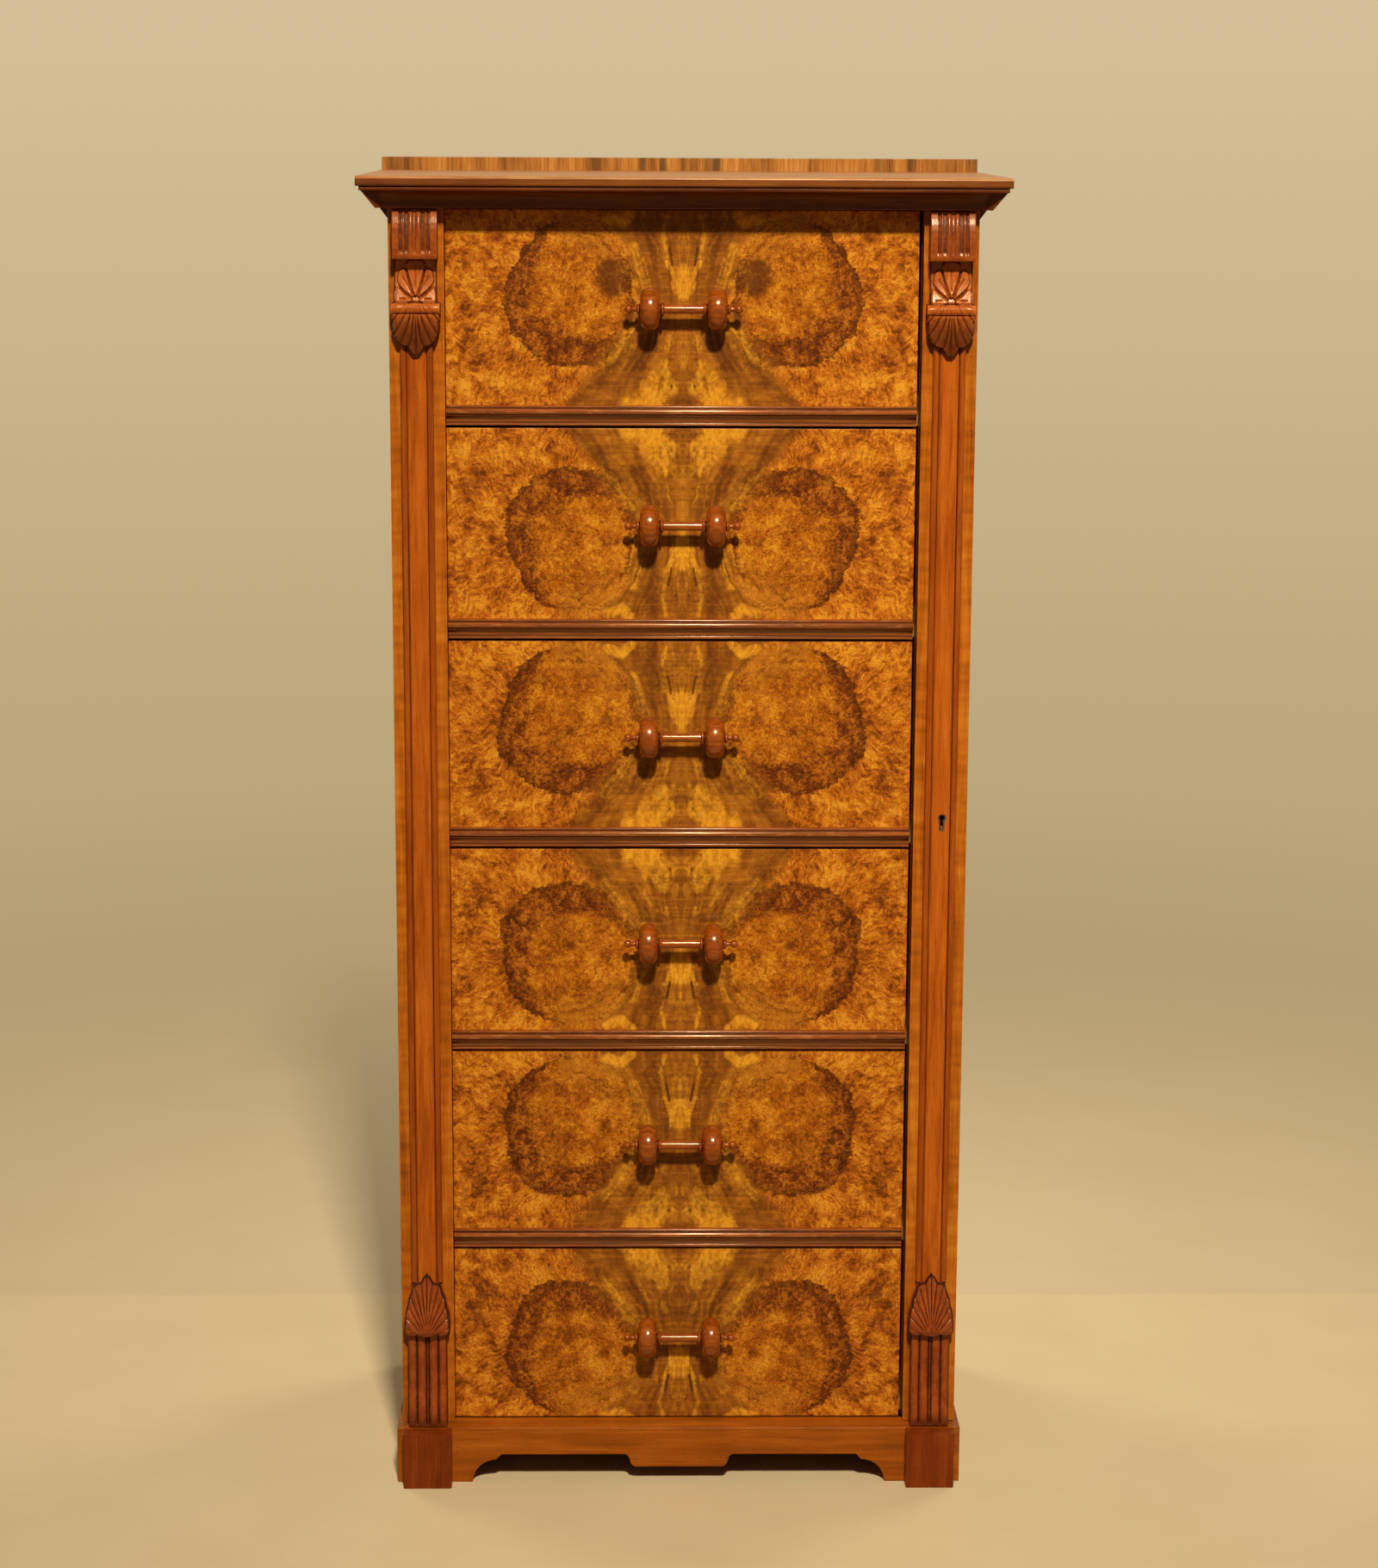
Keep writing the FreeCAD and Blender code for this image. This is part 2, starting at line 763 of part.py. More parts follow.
capital_top = flap_head
console_foot = capital_top - size["console_height"]
palmette_foot = console_foot - size["palmette_height"]
roll_level = palmette_foot - size["roll_diameter"] * ROLL_DROP_SHARE
leaf_foot = roll_level - size["leaf_height"]
corbel_top = flap_foot + size["corbel_height"]
corbel_leaf_top = corbel_top + size["corbel_leaf_height"]


def make_strip(name, middle):
    body = new_body(name)
    pad(body, "XY_Plane", corbel_leaf_top, leaf_foot, strip_plan(middle))
    return body


def half_outline(middle, foot, half_width, height, shares, bulge, crown=None):
    """A carved outline from its right half, read clockwise from the top; its arcs bulge outwards."""
    right = [(middle + half_width * across, foot + height * up) for across, up in shares]
    left = [(middle - half_width * across, foot + height * up) for across, up in reversed(shares)]
    corners = [right[0] if crown is None else right[0] + (-crown,)]
    corners.extend(place + (-bulge,) for place in right[1:])
    corners.append(left[0])
    corners.extend(place + (-bulge,) for place in left[1:])
    return corners


def add_reeds(body, middle, half_width, shares, section):
    """Stand reeds forward of the ground, each with the same side view."""
    for start, end in shares:
        pad(body, "YZ_Plane", middle + half_width * start, middle + half_width * end, section)


def console_section(set_back):
    """Side view of the console with its front set back by a depth."""
    top = stile_face - size["console_top_stand"] + set_back
    lip = stile_face - size["console_lip_stand"] + set_back
    return (
        (stile_face, capital_top),
        (top, capital_top),
        (lip, console_foot + size["console_lip"], CONSOLE_SHARE),
        (lip, console_foot),
        (stile_face, console_foot),
    )


def make_capital(name):
    """Left capital: a reeded console over a palmette, a scroll roll and a hanging leaf."""
    middle = -pilaster_middle
    spare = size["overrun"]
    body = new_body(name)

    half = size["palmette_width"] / 2.0
    foot_face = stile_face - size["palmette_foot_stand"]
    top_face = stile_face - size["palmette_top_stand"]
    fan = half_outline(middle, palmette_foot, half, size["palmette_height"],
                       PALMETTE_LOBE_SHARES, LOBE_SHARE, LOBE_SHARE)
    pad(body, "XZ_Plane", foot_face, stile_face, fan)
    sweep = (
        (foot_face, palmette_foot),
        (top_face, console_foot, PALMETTE_SWEEP_SHARE),
        (foot_face - spare, console_foot),
        (foot_face - spare, palmette_foot),
    )
    pocket(body, "YZ_Plane", middle - half - spare, middle + half + spare, sweep)

    half = size["roll_length"] / 2.0
    leaf_face = stile_face - size["leaf_top_stand"]
    tip_face = stile_face - size["leaf_foot_stand"]
    leaf = half_outline(middle, leaf_foot, half, size["leaf_height"], LEAF_EDGE_SHARES, LEAF_EDGE_SHARE)
    pad(body, "XZ_Plane", leaf_face - spare, stile_face, leaf)
    swell = (
        (leaf_face, roll_level),
        (tip_face, leaf_foot, LEAF_SWELL_SHARE),
        (tip_face - spare * 2.0, leaf_foot),
        (tip_face - spare * 2.0, roll_level),
    )
    pocket(body, "YZ_Plane", middle - half - spare, middle + half + spare, swell)
    neck = rectangle(middle - half, middle + half, roll_level, palmette_foot)
    pad(body, "XZ_Plane", top_face, stile_face, neck)
    roll = circle(stile_face - size["roll_stand"], roll_level, size["roll_diameter"] / 2.0)
    pad(body, "YZ_Plane", middle - half, middle + half, roll)
    half_tip = size["leaf_tip_width"] / 2.0
    tip = (
        (middle - half_tip, leaf_foot),
        (middle, leaf_foot - size["leaf_tip_height"], LEAF_EDGE_SHARE),
        (middle + half_tip, leaf_foot, LEAF_EDGE_SHARE),
    )
    pad(body, "XZ_Plane", tip_face, strip_face, tip)

    half = size["console_width"] / 2.0
    pad(body, "YZ_Plane", middle - half, middle + half, console_section(size["reed_depth"]))
    add_reeds(body, middle, half, CONSOLE_REED_SHARES, console_section(ZERO))
    lip_face = stile_face - size["console_lip_stand"]
    lip = rectangle(middle - half, middle + half, console_foot, console_foot + size["console_lip"])
    pad(body, "XZ_Plane", lip_face, stile_face, lip)
    return body


def corbel_section(set_back):
    """Side view of the reeded foot of a corbel: plumb at the bottom, then swept back."""
    foot = stile_face - size["corbel_foot_stand"] + set_back
    waist = stile_face - size["corbel_top_stand"] + set_back
    sweep_foot = flap_foot + size["corbel_foot_height"]
    return (
        (stile_face, corbel_top),
        (waist, corbel_top),
        (waist, sweep_foot + size["corbel_sweep"]),
        (foot, sweep_foot, -CORBEL_SWEEP_SHARE),
        (foot, flap_foot),
        (stile_face, flap_foot),
    )


def make_corbel(name):
    """Left corbel: a reeded foot under a leaf that swells forward and overhangs it."""
    middle = -pilaster_middle
    spare = size["overrun"]
    body = new_body(name)

    half = size["corbel_leaf_width"] / 2.0
    foot_face = stile_face - size["corbel_leaf_foot_stand"]
    top_face = stile_face - size["corbel_leaf_top_stand"]
    leaf = half_outline(middle, corbel_top, half, size["corbel_leaf_height"],
                        CORBEL_LEAF_EDGE_SHARES, LEAF_EDGE_SHARE)
    pad(body, "XZ_Plane", foot_face - spare, stile_face, leaf)
    swell = (
        (top_face, corbel_leaf_top),
        (foot_face, corbel_top, CORBEL_LEAF_SWELL_SHARE),
        (foot_face - spare * 2.0, corbel_top),
        (foot_face - spare * 2.0, corbel_leaf_top),
    )
    pocket(body, "YZ_Plane", middle - half - spare, middle + half + spare, swell)
    half_tip = size["corbel_tip_width"] / 2.0
    tip = (
        (middle + half_tip, corbel_leaf_top),
        (middle, corbel_leaf_top + size["corbel_tip_height"], LEAF_EDGE_SHARE),
        (middle - half_tip, corbel_leaf_top, LEAF_EDGE_SHARE),
    )
    pad(body, "XZ_Plane", top_face, strip_face, tip)

    half = size["corbel_width"] / 2.0
    pad(body, "YZ_Plane", middle - half, middle + half, corbel_section(size["reed_depth"]))
    add_reeds(body, middle, half, CORBEL_REED_SHARES, corbel_section(ZERO))
    return body


def make_pilasters():
    """The fixed left pilaster, and the same carvings turned over for the flap."""
    piece("left_stile", block("left_stile", (-half_carcass, -opening_half), (stile_face, side_front),
                              (plinth_top, soffit)))
    piece("left_strip", make_strip("left_strip", -pilaster_middle))
    capital = piece("left_capital", make_capital("left_capital"))
    corbel = piece("left_corbel", make_corbel("left_corbel"))
    piece("flap_capital", mirrored("flap_capital", capital))
    piece("flap_corbel", mirrored("flap_corbel", corbel))
    strip = make_strip("flap_strip", pilaster_middle)
    pocket(strip, "XZ_Plane", strip_face - size["overrun"], stile_face + size["overrun"],
           keyhole_outline(size["liner_wall"]))
    piece("flap_strip", strip)


# Flap and lock

def make_flap():
    """The stile that swings; its back outer corner is rounded about the pivot."""
    inner = opening_half + size["flap_inner_gap"]
    body = new_body("flap_stile")
    plan = (
        (inner, stile_face),
        (half_carcass, stile_face),
        (half_carcass, pivot_y),
        (pivot_x, flap_back, QUARTER_ROUND_SHARE),
        (inner, flap_back),
    )
    pad(body, "XY_Plane", flap_foot, flap_head, plan)
    bore = circle(pivot_x, pivot_y, pin_hole_radius)
    bore_depth = size["pin_bite"] + size["pin_end_gap"]
    pocket(body, "XY_Plane", flap_head - bore_depth, flap_head, bore)
    pocket(body, "XY_Plane", flap_foot, flap_foot + bore_depth, bore)
    lock_front = flap_back - size["lock_plate_thickness"]
    pocket(body, "XZ_Plane", stile_face - size["overrun"], lock_front + size["overrun"],
           keyhole_outline(ZERO))
    low, high, foot, head = lock_plate_span()
    pocket(body, "XZ_Plane", lock_front, flap_back + size["overrun"], rectangle(low, high, foot, head))
    piece("flap_stile", body)

    bite = size["pin_bite"]
    pins = []
    spans = (("foot", plinth_top - bite, flap_foot + bite), ("head", flap_head - bite, soffit + bite))
    for name, foot, head in spans:
        pin = doc.addObject("Part::Cylinder", name + "_pin")
        pin.setExpression("Radius", pin_radius.formula)
        pin.setExpression("Height", (head - foot).formula)
        pin.setExpression("Placement.Base.x", pivot_x.formula)
        pin.setExpression("Placement.Base.y", pivot_y.formula)
        pin.setExpression("Placement.Base.z", foot.formula)
        pins.append(pin)
    piece("flap_pivots", gather("flap_pivots", pins))


def lock_plate_span():
    """The lock plate in the back of the flap: left, right, foot and head."""
    left = opening_half + size["lock_inset"]
    middle = size["keyhole_level"]
    half = size["lock_plate_height"] / 2.0
    return left, left + size["lock_plate_width"], middle - half, middle + half


def make_lock():
    """Plate, nose and bolt; the nose enters the fixed stile and the bolt shoots behind its keep."""
    plate_left, plate_right, foot, head = lock_plate_span()
    plate_front = flap_back - size["lock_plate_thickness"]
    middle = size["keyhole_level"]
    nose_left = plate_right - size["nose_width"]
    half_nose = size["nose_height"] / 2.0
    nose_back = flap_back + size["nose_depth"]
    bolt_middle = flap_back + size["nose_depth"] * BOLT_DEPTH_SHARE
    half_bolt = size["bolt_thickness"] / 2.0
    half_height = size["bolt_height"] / 2.0
    gap = size["bolt_gap"]
    bolt_right = nose_left + size["bolt_length"]

    case = new_body("lock_body")
    pad(case, "XZ_Plane", plate_front, flap_back, rectangle(plate_left, plate_right, foot, head))
    pad(case, "XZ_Plane", flap_back, nose_back,
        rectangle(nose_left, plate_right, middle - half_nose, middle + half_nose))
    channel = rectangle(bolt_middle - half_bolt - gap, bolt_middle + half_bolt + gap,
                        middle - half_height - gap, middle + half_height + gap)
    pocket(case, "YZ_Plane", nose_left - size["overrun"], bolt_right + gap, channel)
    pocket(case, "XZ_Plane", plate_front - size["overrun"], plate_front + size["keyhole_sink"],
           keyhole_outline(ZERO))
    liner = new_body("keyhole_liner")
    liner_face = stile_face - size["strip_panel_stand"]
    pad(liner, "XZ_Plane", liner_face, liner_face + size["liner_depth"], keyhole_outline(size["liner_wall"]))
    pocket(liner, "XZ_Plane", liner_face - size["overrun"], liner_face + size["overrun"],
           keyhole_outline(ZERO))
    piece("flap_lock", gather("flap_lock", [case, liner]))
    piece("lock_bolt", block("lock_bolt", (nose_left, bolt_right),
                             (bolt_middle - half_bolt, bolt_middle + half_bolt),
                             (middle - half_height, middle + half_height)))

    stile_span = (opening_half, half_carcass)
    stile_depth = (lock_stile_front, side_front)
    mortise_foot = middle - half_nose - size["nose_gap"]
    mortise_head = middle + half_nose + size["nose_gap"]
    mortise = (mortise_foot, mortise_head)
    keep_back = bolt_middle - half_bolt - size["nose_gap"]
    parts = [
        block("lower_lock_stile", stile_span, stile_depth, (plinth_top, mortise_foot)),
        block("upper_lock_stile", stile_span, stile_depth, (mortise_head, soffit)),
        block("mortise_cheek", (plate_right + size["nose_gap"], half_carcass), stile_depth, mortise),
        block("bolt_keep", (opening_half, nose_left - size["nose_swing"]),
              (lock_stile_front, keep_back), mortise),
    ]
    piece("lock_stile", gather("lock_stile", parts))


# Drawers

def tail_corners(root, tip, foot, head):
    """The toothed front end of a drawer side, from the foot up."""
    pitch = (head - foot) / TAIL_COUNT
    corners = []
    for number in range(TAIL_COUNT):
        middle = foot + pitch * (number + 0.5)
        corners.append((root, middle - pitch * TAIL_ROOT_SHARE))
        corners.append((tip, middle - pitch * TAIL_TIP_SHARE))
        corners.append((tip, middle + pitch * TAIL_TIP_SHARE))
        corners.append((root, middle + pitch * TAIL_ROOT_SHARE))
    return corners


def handle_outline():
    """Half section of the turned bar about its own axis, from the middle of one ball to the other."""
    rod = size["rod_diameter"] / 2.0
    neck = size["neck_diameter"] / 2.0
    wheel = size["bobbin_diameter"] / 2.0
    curve = size["bobbin_round"]
    inner = size["bobbin_spacing"] / 2.0 - size["bobbin_width"] / 2.0
    outer = inner + size["bobbin_width"]
    ring = size["ring_width"]
    ball_middle = size["handle_length"] / 2.0 - size["ball_diameter"] / 2.0
    right = (
        (inner - ring, rod),
        (inner, rod, -RING_SHARE),
        (inner, wheel - curve),
        (inner + curve, wheel, -QUARTER_ROUND_SHARE),
        (outer - curve, wheel),
        (outer, wheel - curve, -QUARTER_ROUND_SHARE),
        (outer, neck),
        (outer + ring, neck, -RING_SHARE),
        (ball_middle, neck),
        (ball_middle, ZERO),
    )
    left = []
    bulge = ()
    for corner in reversed(right):
        left.append((-corner[0], corner[1]) + bulge)
        bulge = corner[2:]
    return left + list(right)


def ball_outlines():
    """Half sections of the two end balls, which share the bar's axis."""
    start = size["handle_length"] / 2.0 - size["ball_diameter"]
    end = size["handle_length"] / 2.0
    right = ((start, ZERO), (end, ZERO, -HALF_ROUND_SHARE))
    left = ((-end, ZERO), (-start, ZERO, -HALF_ROUND_SHARE))
    return left, right


def make_handle(name, level):
    """A turned bar with two bobbins, flattened behind where it sits on the drawer front."""
    wheel = size["bobbin_diameter"] / 2.0
    axis = drawer_face - wheel + size["handle_seat"]
    body = new_body(name)
    for outlines in ((handle_outline(),), ball_outlines()):
        sketch = place_sketch(body, "XZ_Plane", -axis, outlines, level)
        turned = body.newObject("PartDesign::Revolution", name + "_turned")
        turned.Profile = sketch
        turned.ReferenceAxis = (sketch, ["H_Axis"])
    half = size["handle_length"] / 2.0
    seat = rectangle(drawer_face, drawer_face + wheel, level - wheel, level + wheel)
    pocket(body, "YZ_Plane", -half, half, seat)
    piece(name, body)


def moulding_section(foot):
    """Bead, cove and fillet along the bottom of a drawer front."""
    top = foot + size["moulding_height"]
    bead_face = drawer_face - size["moulding_stand"]
    bead_top = top - size["moulding_fillet"]
    bead_foot = bead_top - size["moulding_bead"]
    cove_top = bead_face + size["moulding_fillet"]
    fillet_face = drawer_face - size["moulding_foot_stand"]
    fillet_top = foot + size["moulding_fillet"]
    return (
        (drawer_face, foot),
        (drawer_face, top),
        (fillet_face, top),
        (fillet_face, bead_top),
        (cove_top, bead_top),
        (cove_top, bead_foot, MOULDING_BEAD_SHARE),
        (fillet_face, fillet_top, -COVE_SHARE),
        (fillet_face, foot),
    )


def make_drawer(number):
    """One drawer: front, two sides tailed into it, back, bottom, handle and moulding."""
    name = "drawer_%d_" % number
    x_span = (front_left, front_right)
    foot = front_foot(number)
    top = front_top(number)
    box_foot = dust_board_top(number) + size["run_gap"]
    box_top = top - size["box_top_drop"]
    side = size["box_side_thickness"]
    groove = size["box_groove"]
    bottom_foot = box_foot + size["box_bottom_rise"]
    bottom_top = bottom_foot + size["box_bottom_thickness"]

    bottom_span = (front_left + side - groove, front_right - side + groove)
    bottom = block(name + "bottom", bottom_span, (front_back - groove, box_rear), (bottom_foot, bottom_top))
    piece(name + "bottom", bottom)
    inner_span = (front_left + side, front_right - side)
    piece(name + "back", block(name + "back", inner_span, (box_rear - size["box_back_thickness"], box_rear),
                               (bottom_top, box_top - size["box_back_drop"])))

    tails = tail_corners(front_back, drawer_face + size["front_lap"], box_foot, box_top)
    outline = tails[::-1]
    outline += [(front_back, box_foot), (box_rear, box_foot), (box_rear, box_top), (front_back, box_top)]
    sides = []
    spans = (("left", front_left, front_left + side), ("right", front_right - side, front_right))
    for hand, low, high in spans:
        board = new_body(name + hand + "_board")
        pad(board, "YZ_Plane", low, high, outline)
        sides.append(cut(name + hand + "_side", board, [bottom]))
    box_sides = piece(name + "sides", gather(name + "sides", sides))

    blank = block(name + "blank", x_span, (drawer_face, front_back), (foot, top))
    piece(name + "front", cut(name + "front", blank, [box_sides, bottom]))

    veneer_foot = foot
    if number < DRAWER_COUNT:
        veneer_foot = foot + size["moulding_height"]
        moulding = new_body(name + "moulding")
        pad(moulding, "YZ_Plane", front_left, front_right, moulding_section(foot))
        piece(name + "moulding", moulding)
    make_handle(name + "handle", (veneer_foot + top) / 2.0 + size["handle_rise"])


def check_and_export():
    """Stop on any failed object or bad solid, then write one file for each sub-part."""
    doc.recompute()
    failed = [thing.Label for thing in doc.Objects if "Invalid" in thing.State or "Error" in thing.State]
    if failed:
        raise SystemExit("failed: " + ", ".join(failed))
    for thing in pieces:
        shape = thing.Shape
        if shape.isNull() or not shape.isValid() or not shape.Solids:
            raise SystemExit("bad shape: " + thing.Label)
    for thing in pieces:
        shape = thing.Shape
        shape.exportStep("parts/%s.step" % thing.Label)
        print("%-20s %d solids %10.0f mm3" % (thing.Label, len(shape.Solids), shape.Volume))
    print(len(pieces), "sub-parts")


dust_boards = make_dust_boards()
make_drawer_guides()
make_sides(dust_boards)
make_back()
make_tops()
make_cornice_front()
make_cornice_returns()
make_plinth()
make_pilasters()
make_flap()
make_lock()
for drawer_number in range(1, DRAWER_COUNT + 1):
    make_drawer(drawer_number)
check_and_export()
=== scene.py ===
"""A Victorian wellington chest in burr walnut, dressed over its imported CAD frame."""

import json
import math

import bmesh
import bpy
import numpy as np
from mathutils import Matrix, Vector


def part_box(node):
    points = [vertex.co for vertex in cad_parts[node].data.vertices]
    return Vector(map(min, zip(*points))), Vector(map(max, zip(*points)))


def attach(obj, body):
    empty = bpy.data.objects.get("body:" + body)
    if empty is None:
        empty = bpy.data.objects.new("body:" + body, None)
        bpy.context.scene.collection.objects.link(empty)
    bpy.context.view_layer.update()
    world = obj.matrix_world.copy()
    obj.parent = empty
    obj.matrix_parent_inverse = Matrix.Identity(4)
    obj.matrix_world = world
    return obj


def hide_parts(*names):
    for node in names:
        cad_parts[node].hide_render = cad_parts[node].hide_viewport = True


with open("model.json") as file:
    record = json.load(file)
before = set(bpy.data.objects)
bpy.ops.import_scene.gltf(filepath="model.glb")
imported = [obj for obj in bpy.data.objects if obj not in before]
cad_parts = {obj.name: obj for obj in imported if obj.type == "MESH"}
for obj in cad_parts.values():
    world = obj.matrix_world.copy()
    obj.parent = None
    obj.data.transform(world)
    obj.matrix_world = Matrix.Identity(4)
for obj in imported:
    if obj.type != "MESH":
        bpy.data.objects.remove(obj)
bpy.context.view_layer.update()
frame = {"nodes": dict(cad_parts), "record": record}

MM = 0.001
DRAWERS = range(1, 7)
BOTTOM_DRAWER = 6


def cad_span(node, axis):
    """The low and high place of a CAD node along an axis, in millimetres to the nearest micron."""
    low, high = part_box(node)
    return round(low[axis] / MM, 3), round(high[axis] / MM, 3)


# Places that the pieces share with the CAD, in millimetres
FRONT_LEFT, FRONT_RIGHT = cad_span("drawer_1_front", 0)
DRAWER_FACE = cad_span("drawer_1_front", 1)[0]
STILE_FACE = cad_span("left_stile", 1)[0]
PILASTER_X = sum(cad_span("flap_strip", 0)) / 2
MOULDING_FOOT, MOULDING_TOP = cad_span("drawer_1_moulding", 2)
MOULDING_HEIGHT = MOULDING_TOP - MOULDING_FOOT
TOP_ARRIS = cad_span("top_board", 2)[1] - 1.5
TOP_FRONT = cad_span("top_board", 1)[0] + 6
CAPITAL_FOOT, CAPITAL_TOP = cad_span("left_capital", 2)
ROLL_LEVEL = CAPITAL_FOOT + 43.5
LEAF_HEAD = CAPITAL_FOOT + 47.5
PALMETTE_FOOT = CAPITAL_FOOT + 51
CORBEL_FOOT, CORBEL_TOP = cad_span("left_corbel", 2)
CORBEL_LEAF_FOOT = CORBEL_FOOT + 94


# Node graphs

def srgb(red, green, blue):
    """A colour written as 0 to 255 sRGB, in the linear values that nodes take."""
    linear = []
    for part in (red, green, blue):
        part /= 255
        linear.append(part / 12.92 if part <= 0.04045 else ((part + 0.055) / 1.055) ** 2.4)
    return (*linear, 1)


WHITE = (1, 1, 1, 1)
WARM = (1, 0.72, 0.42, 1)


class Value:
    """What a node gives; arithmetic with it adds math nodes to its graph."""

    def __init__(self, graph, socket):
        self.graph = graph
        self.socket = socket

    def __add__(self, other):
        return self.graph.math("ADD", self, other)

    def __radd__(self, other):
        return self.graph.math("ADD", other, self)

    def __sub__(self, other):
        return self.graph.math("SUBTRACT", self, other)

    def __mul__(self, other):
        return self.graph.math("MULTIPLY", self, other)

    def __abs__(self):
        return self.graph.math("ABSOLUTE", self)


class Graph:
    """The nodes of one material or world, built with short calls. Lengths are in millimetres."""

    def __init__(self, owner):
        self.owner = owner
        owner.use_nodes = True
        self.nodes = owner.node_tree.nodes
        self.links = owner.node_tree.links
        self.nodes.clear()

    def node(self, kind, inputs, **settings):
        """A new node; its inputs are given by name or number."""
        node = self.nodes.new("ShaderNode" + kind)
        for key, value in settings.items():
            setattr(node, key, value)
        for key, value in dict(inputs).items():
            if isinstance(value, Value):
                self.links.new(value.socket, node.inputs[key])
            else:
                node.inputs[key].default_value = value
        return node

    def value(self, kind, output, inputs=(), **settings):
        """One output of a new node."""
        return Value(self, self.node(kind, inputs, **settings).outputs[output])

    def math(self, operation, *terms):
        return self.value("Math", 0, enumerate(terms), operation=operation)

    def vector(self, operation, first, second):
        return self.value("VectorMath", "Vector", {0: first, 1: second}, operation=operation)

    def split(self, vector):
        return [Value(self, part) for part in self.node("SeparateXYZ", {0: vector}).outputs]

    def join(self, x, y, z):
        return self.value("CombineXYZ", 0, {0: x, 1: y, 2: z})

    def place(self, offset=(0, 0, 0)):
        """The point on the object, moved so that no two boards share a figure."""
        here = self.vector("MULTIPLY", self.value("TexCoord", "Object"), (1 / MM,) * 3)
        return self.vector("ADD", here, offset)

    def attribute(self, name, output="Vector"):
        return self.value("Attribute", output, attribute_name=name)

    def noise(self, vector, size, detail=3, roughness=0.5, output="Fac"):
        """Noise from 0 to 1 whose cells are about size across; size is a number or one for each axis."""
        if not isinstance(size, tuple):
            size = (size,) * 3
        cells = self.vector("MULTIPLY", vector, tuple(1 / part for part in size))
        return self.value("TexNoise", output, {"Vector": cells, "Scale": 1, "Detail": detail,
                                               "Roughness": roughness})

    def warp(self, vector, size, amount, detail=2):
        """The vector pushed about by noise, by up to about half the amount each way."""
        push = self.vector("SUBTRACT", self.noise(vector, size, detail, output="Color"), (0.5, 0.5, 0.5))
        return self.vector("ADD", vector, self.vector("MULTIPLY", push, (amount,) * 3))

    def cells(self, vector, size):
        """Distance from the nearest of scattered points about size apart, as a share of size."""
        cells = self.vector("MULTIPLY", vector, (1 / size,) * 3)
        return self.value("TexVoronoi", "Distance", {"Vector": cells, "Scale": 1})

    def step(self, value, low, high):
        """0 at low and 1 at high, smooth between."""
        return self.value("MapRange", 0, {"Value": value, "From Min": low, "From Max": high},
                          interpolation_type="SMOOTHSTEP")

    def mix(self, share, first, second):
        """The first colour taken by a share towards the second."""
        return self.value("Mix", 2, {0: share, 6: first, 7: second}, data_type="RGBA")

    def stain(self, colour, *coats):
        """The colour taken towards others in turn; a coat is (share, red, green, blue), as 0 to 255 sRGB."""
        for share, *paint in coats:
            colour = self.mix(share, colour, srgb(*paint))
        return colour

    def ramp(self, value, *stops):
        """Colours by place; a stop is (place, red, green, blue) with the colour as 0 to 255 sRGB."""
        node = self.node("ValToRGB", {0: value})
        elements = node.color_ramp.elements
        while len(elements) < len(stops):
            elements.new(0.5)
        for element, (place, *colour) in zip(elements, stops):
            element.position = place
            element.color = srgb(*colour)
        return Value(self, node.outputs[0])

    def bump(self, height, distance):
        """The normal of relief whose height of 1 stands a distance proud."""
        return self.value("Bump", 0, {"Distance": distance * MM, "Height": height})

    def seen(self):
        """1 for rays that show the background: straight from the camera, mirrored or passed through."""
        paths = self.node("LightPath", {}).outputs
        ways = [Value(self, paths[name]) for name in ("Is Camera Ray", "Is Glossy Ray", "Is Transmission Ray")]
        return self.math("MAXIMUM", self.math("MAXIMUM", *ways[:2]), ways[2])

    def finish(self, shader, kind="Material"):
        self.node("Output" + kind, {0: shader})
        return self.owner

    def surface(self, colour, roughness, normal, specular, coat=0, coat_roughness=0.2, metal=0):
        """A principled surface; what wood reflects is as warm as its polish."""
        return self.finish(self.value("BsdfPrincipled", 0, {
            "Base Color": colour, "Roughness": roughness, "Normal": normal, "Specular IOR Level": specular,
            "Specular Tint": WHITE if metal else WARM, "Coat Weight": coat, "Coat Roughness": coat_roughness,
            "Metallic": metal}))


def new_graph(name):
    return Graph(bpy.data.materials.new(name))


# Woods

# Light, middle, dark and pore colours
WOODS = {
    "walnut": ((209, 122, 30), (182, 93, 15), (131, 62, 8), (82, 37, 7)),
    "strip": ((206, 106, 26), (180, 85, 15), (134, 53, 9), (84, 34, 6)),
    # The cornice's walnut is made darker as painted shade for the shaded cornice
    "dark": ((142, 70, 26), (106, 45, 14), (70, 27, 9), (40, 15, 5)),
    "plinth": ((190, 102, 24), (162, 80, 12), (118, 54, 8), (64, 27, 6)),
    "block": ((160, 72, 18), (128, 50, 8), (92, 34, 6), (46, 17, 5)),
    "side": ((160, 90, 26), (128, 66, 15), (88, 43, 9), (52, 25, 6)),
    "oak": ((200, 166, 112), (178, 142, 90), (146, 110, 64), (98, 70, 38)),
    "pine": ((206, 166, 104), (188, 144, 82), (154, 108, 54), (112, 74, 36)),
}


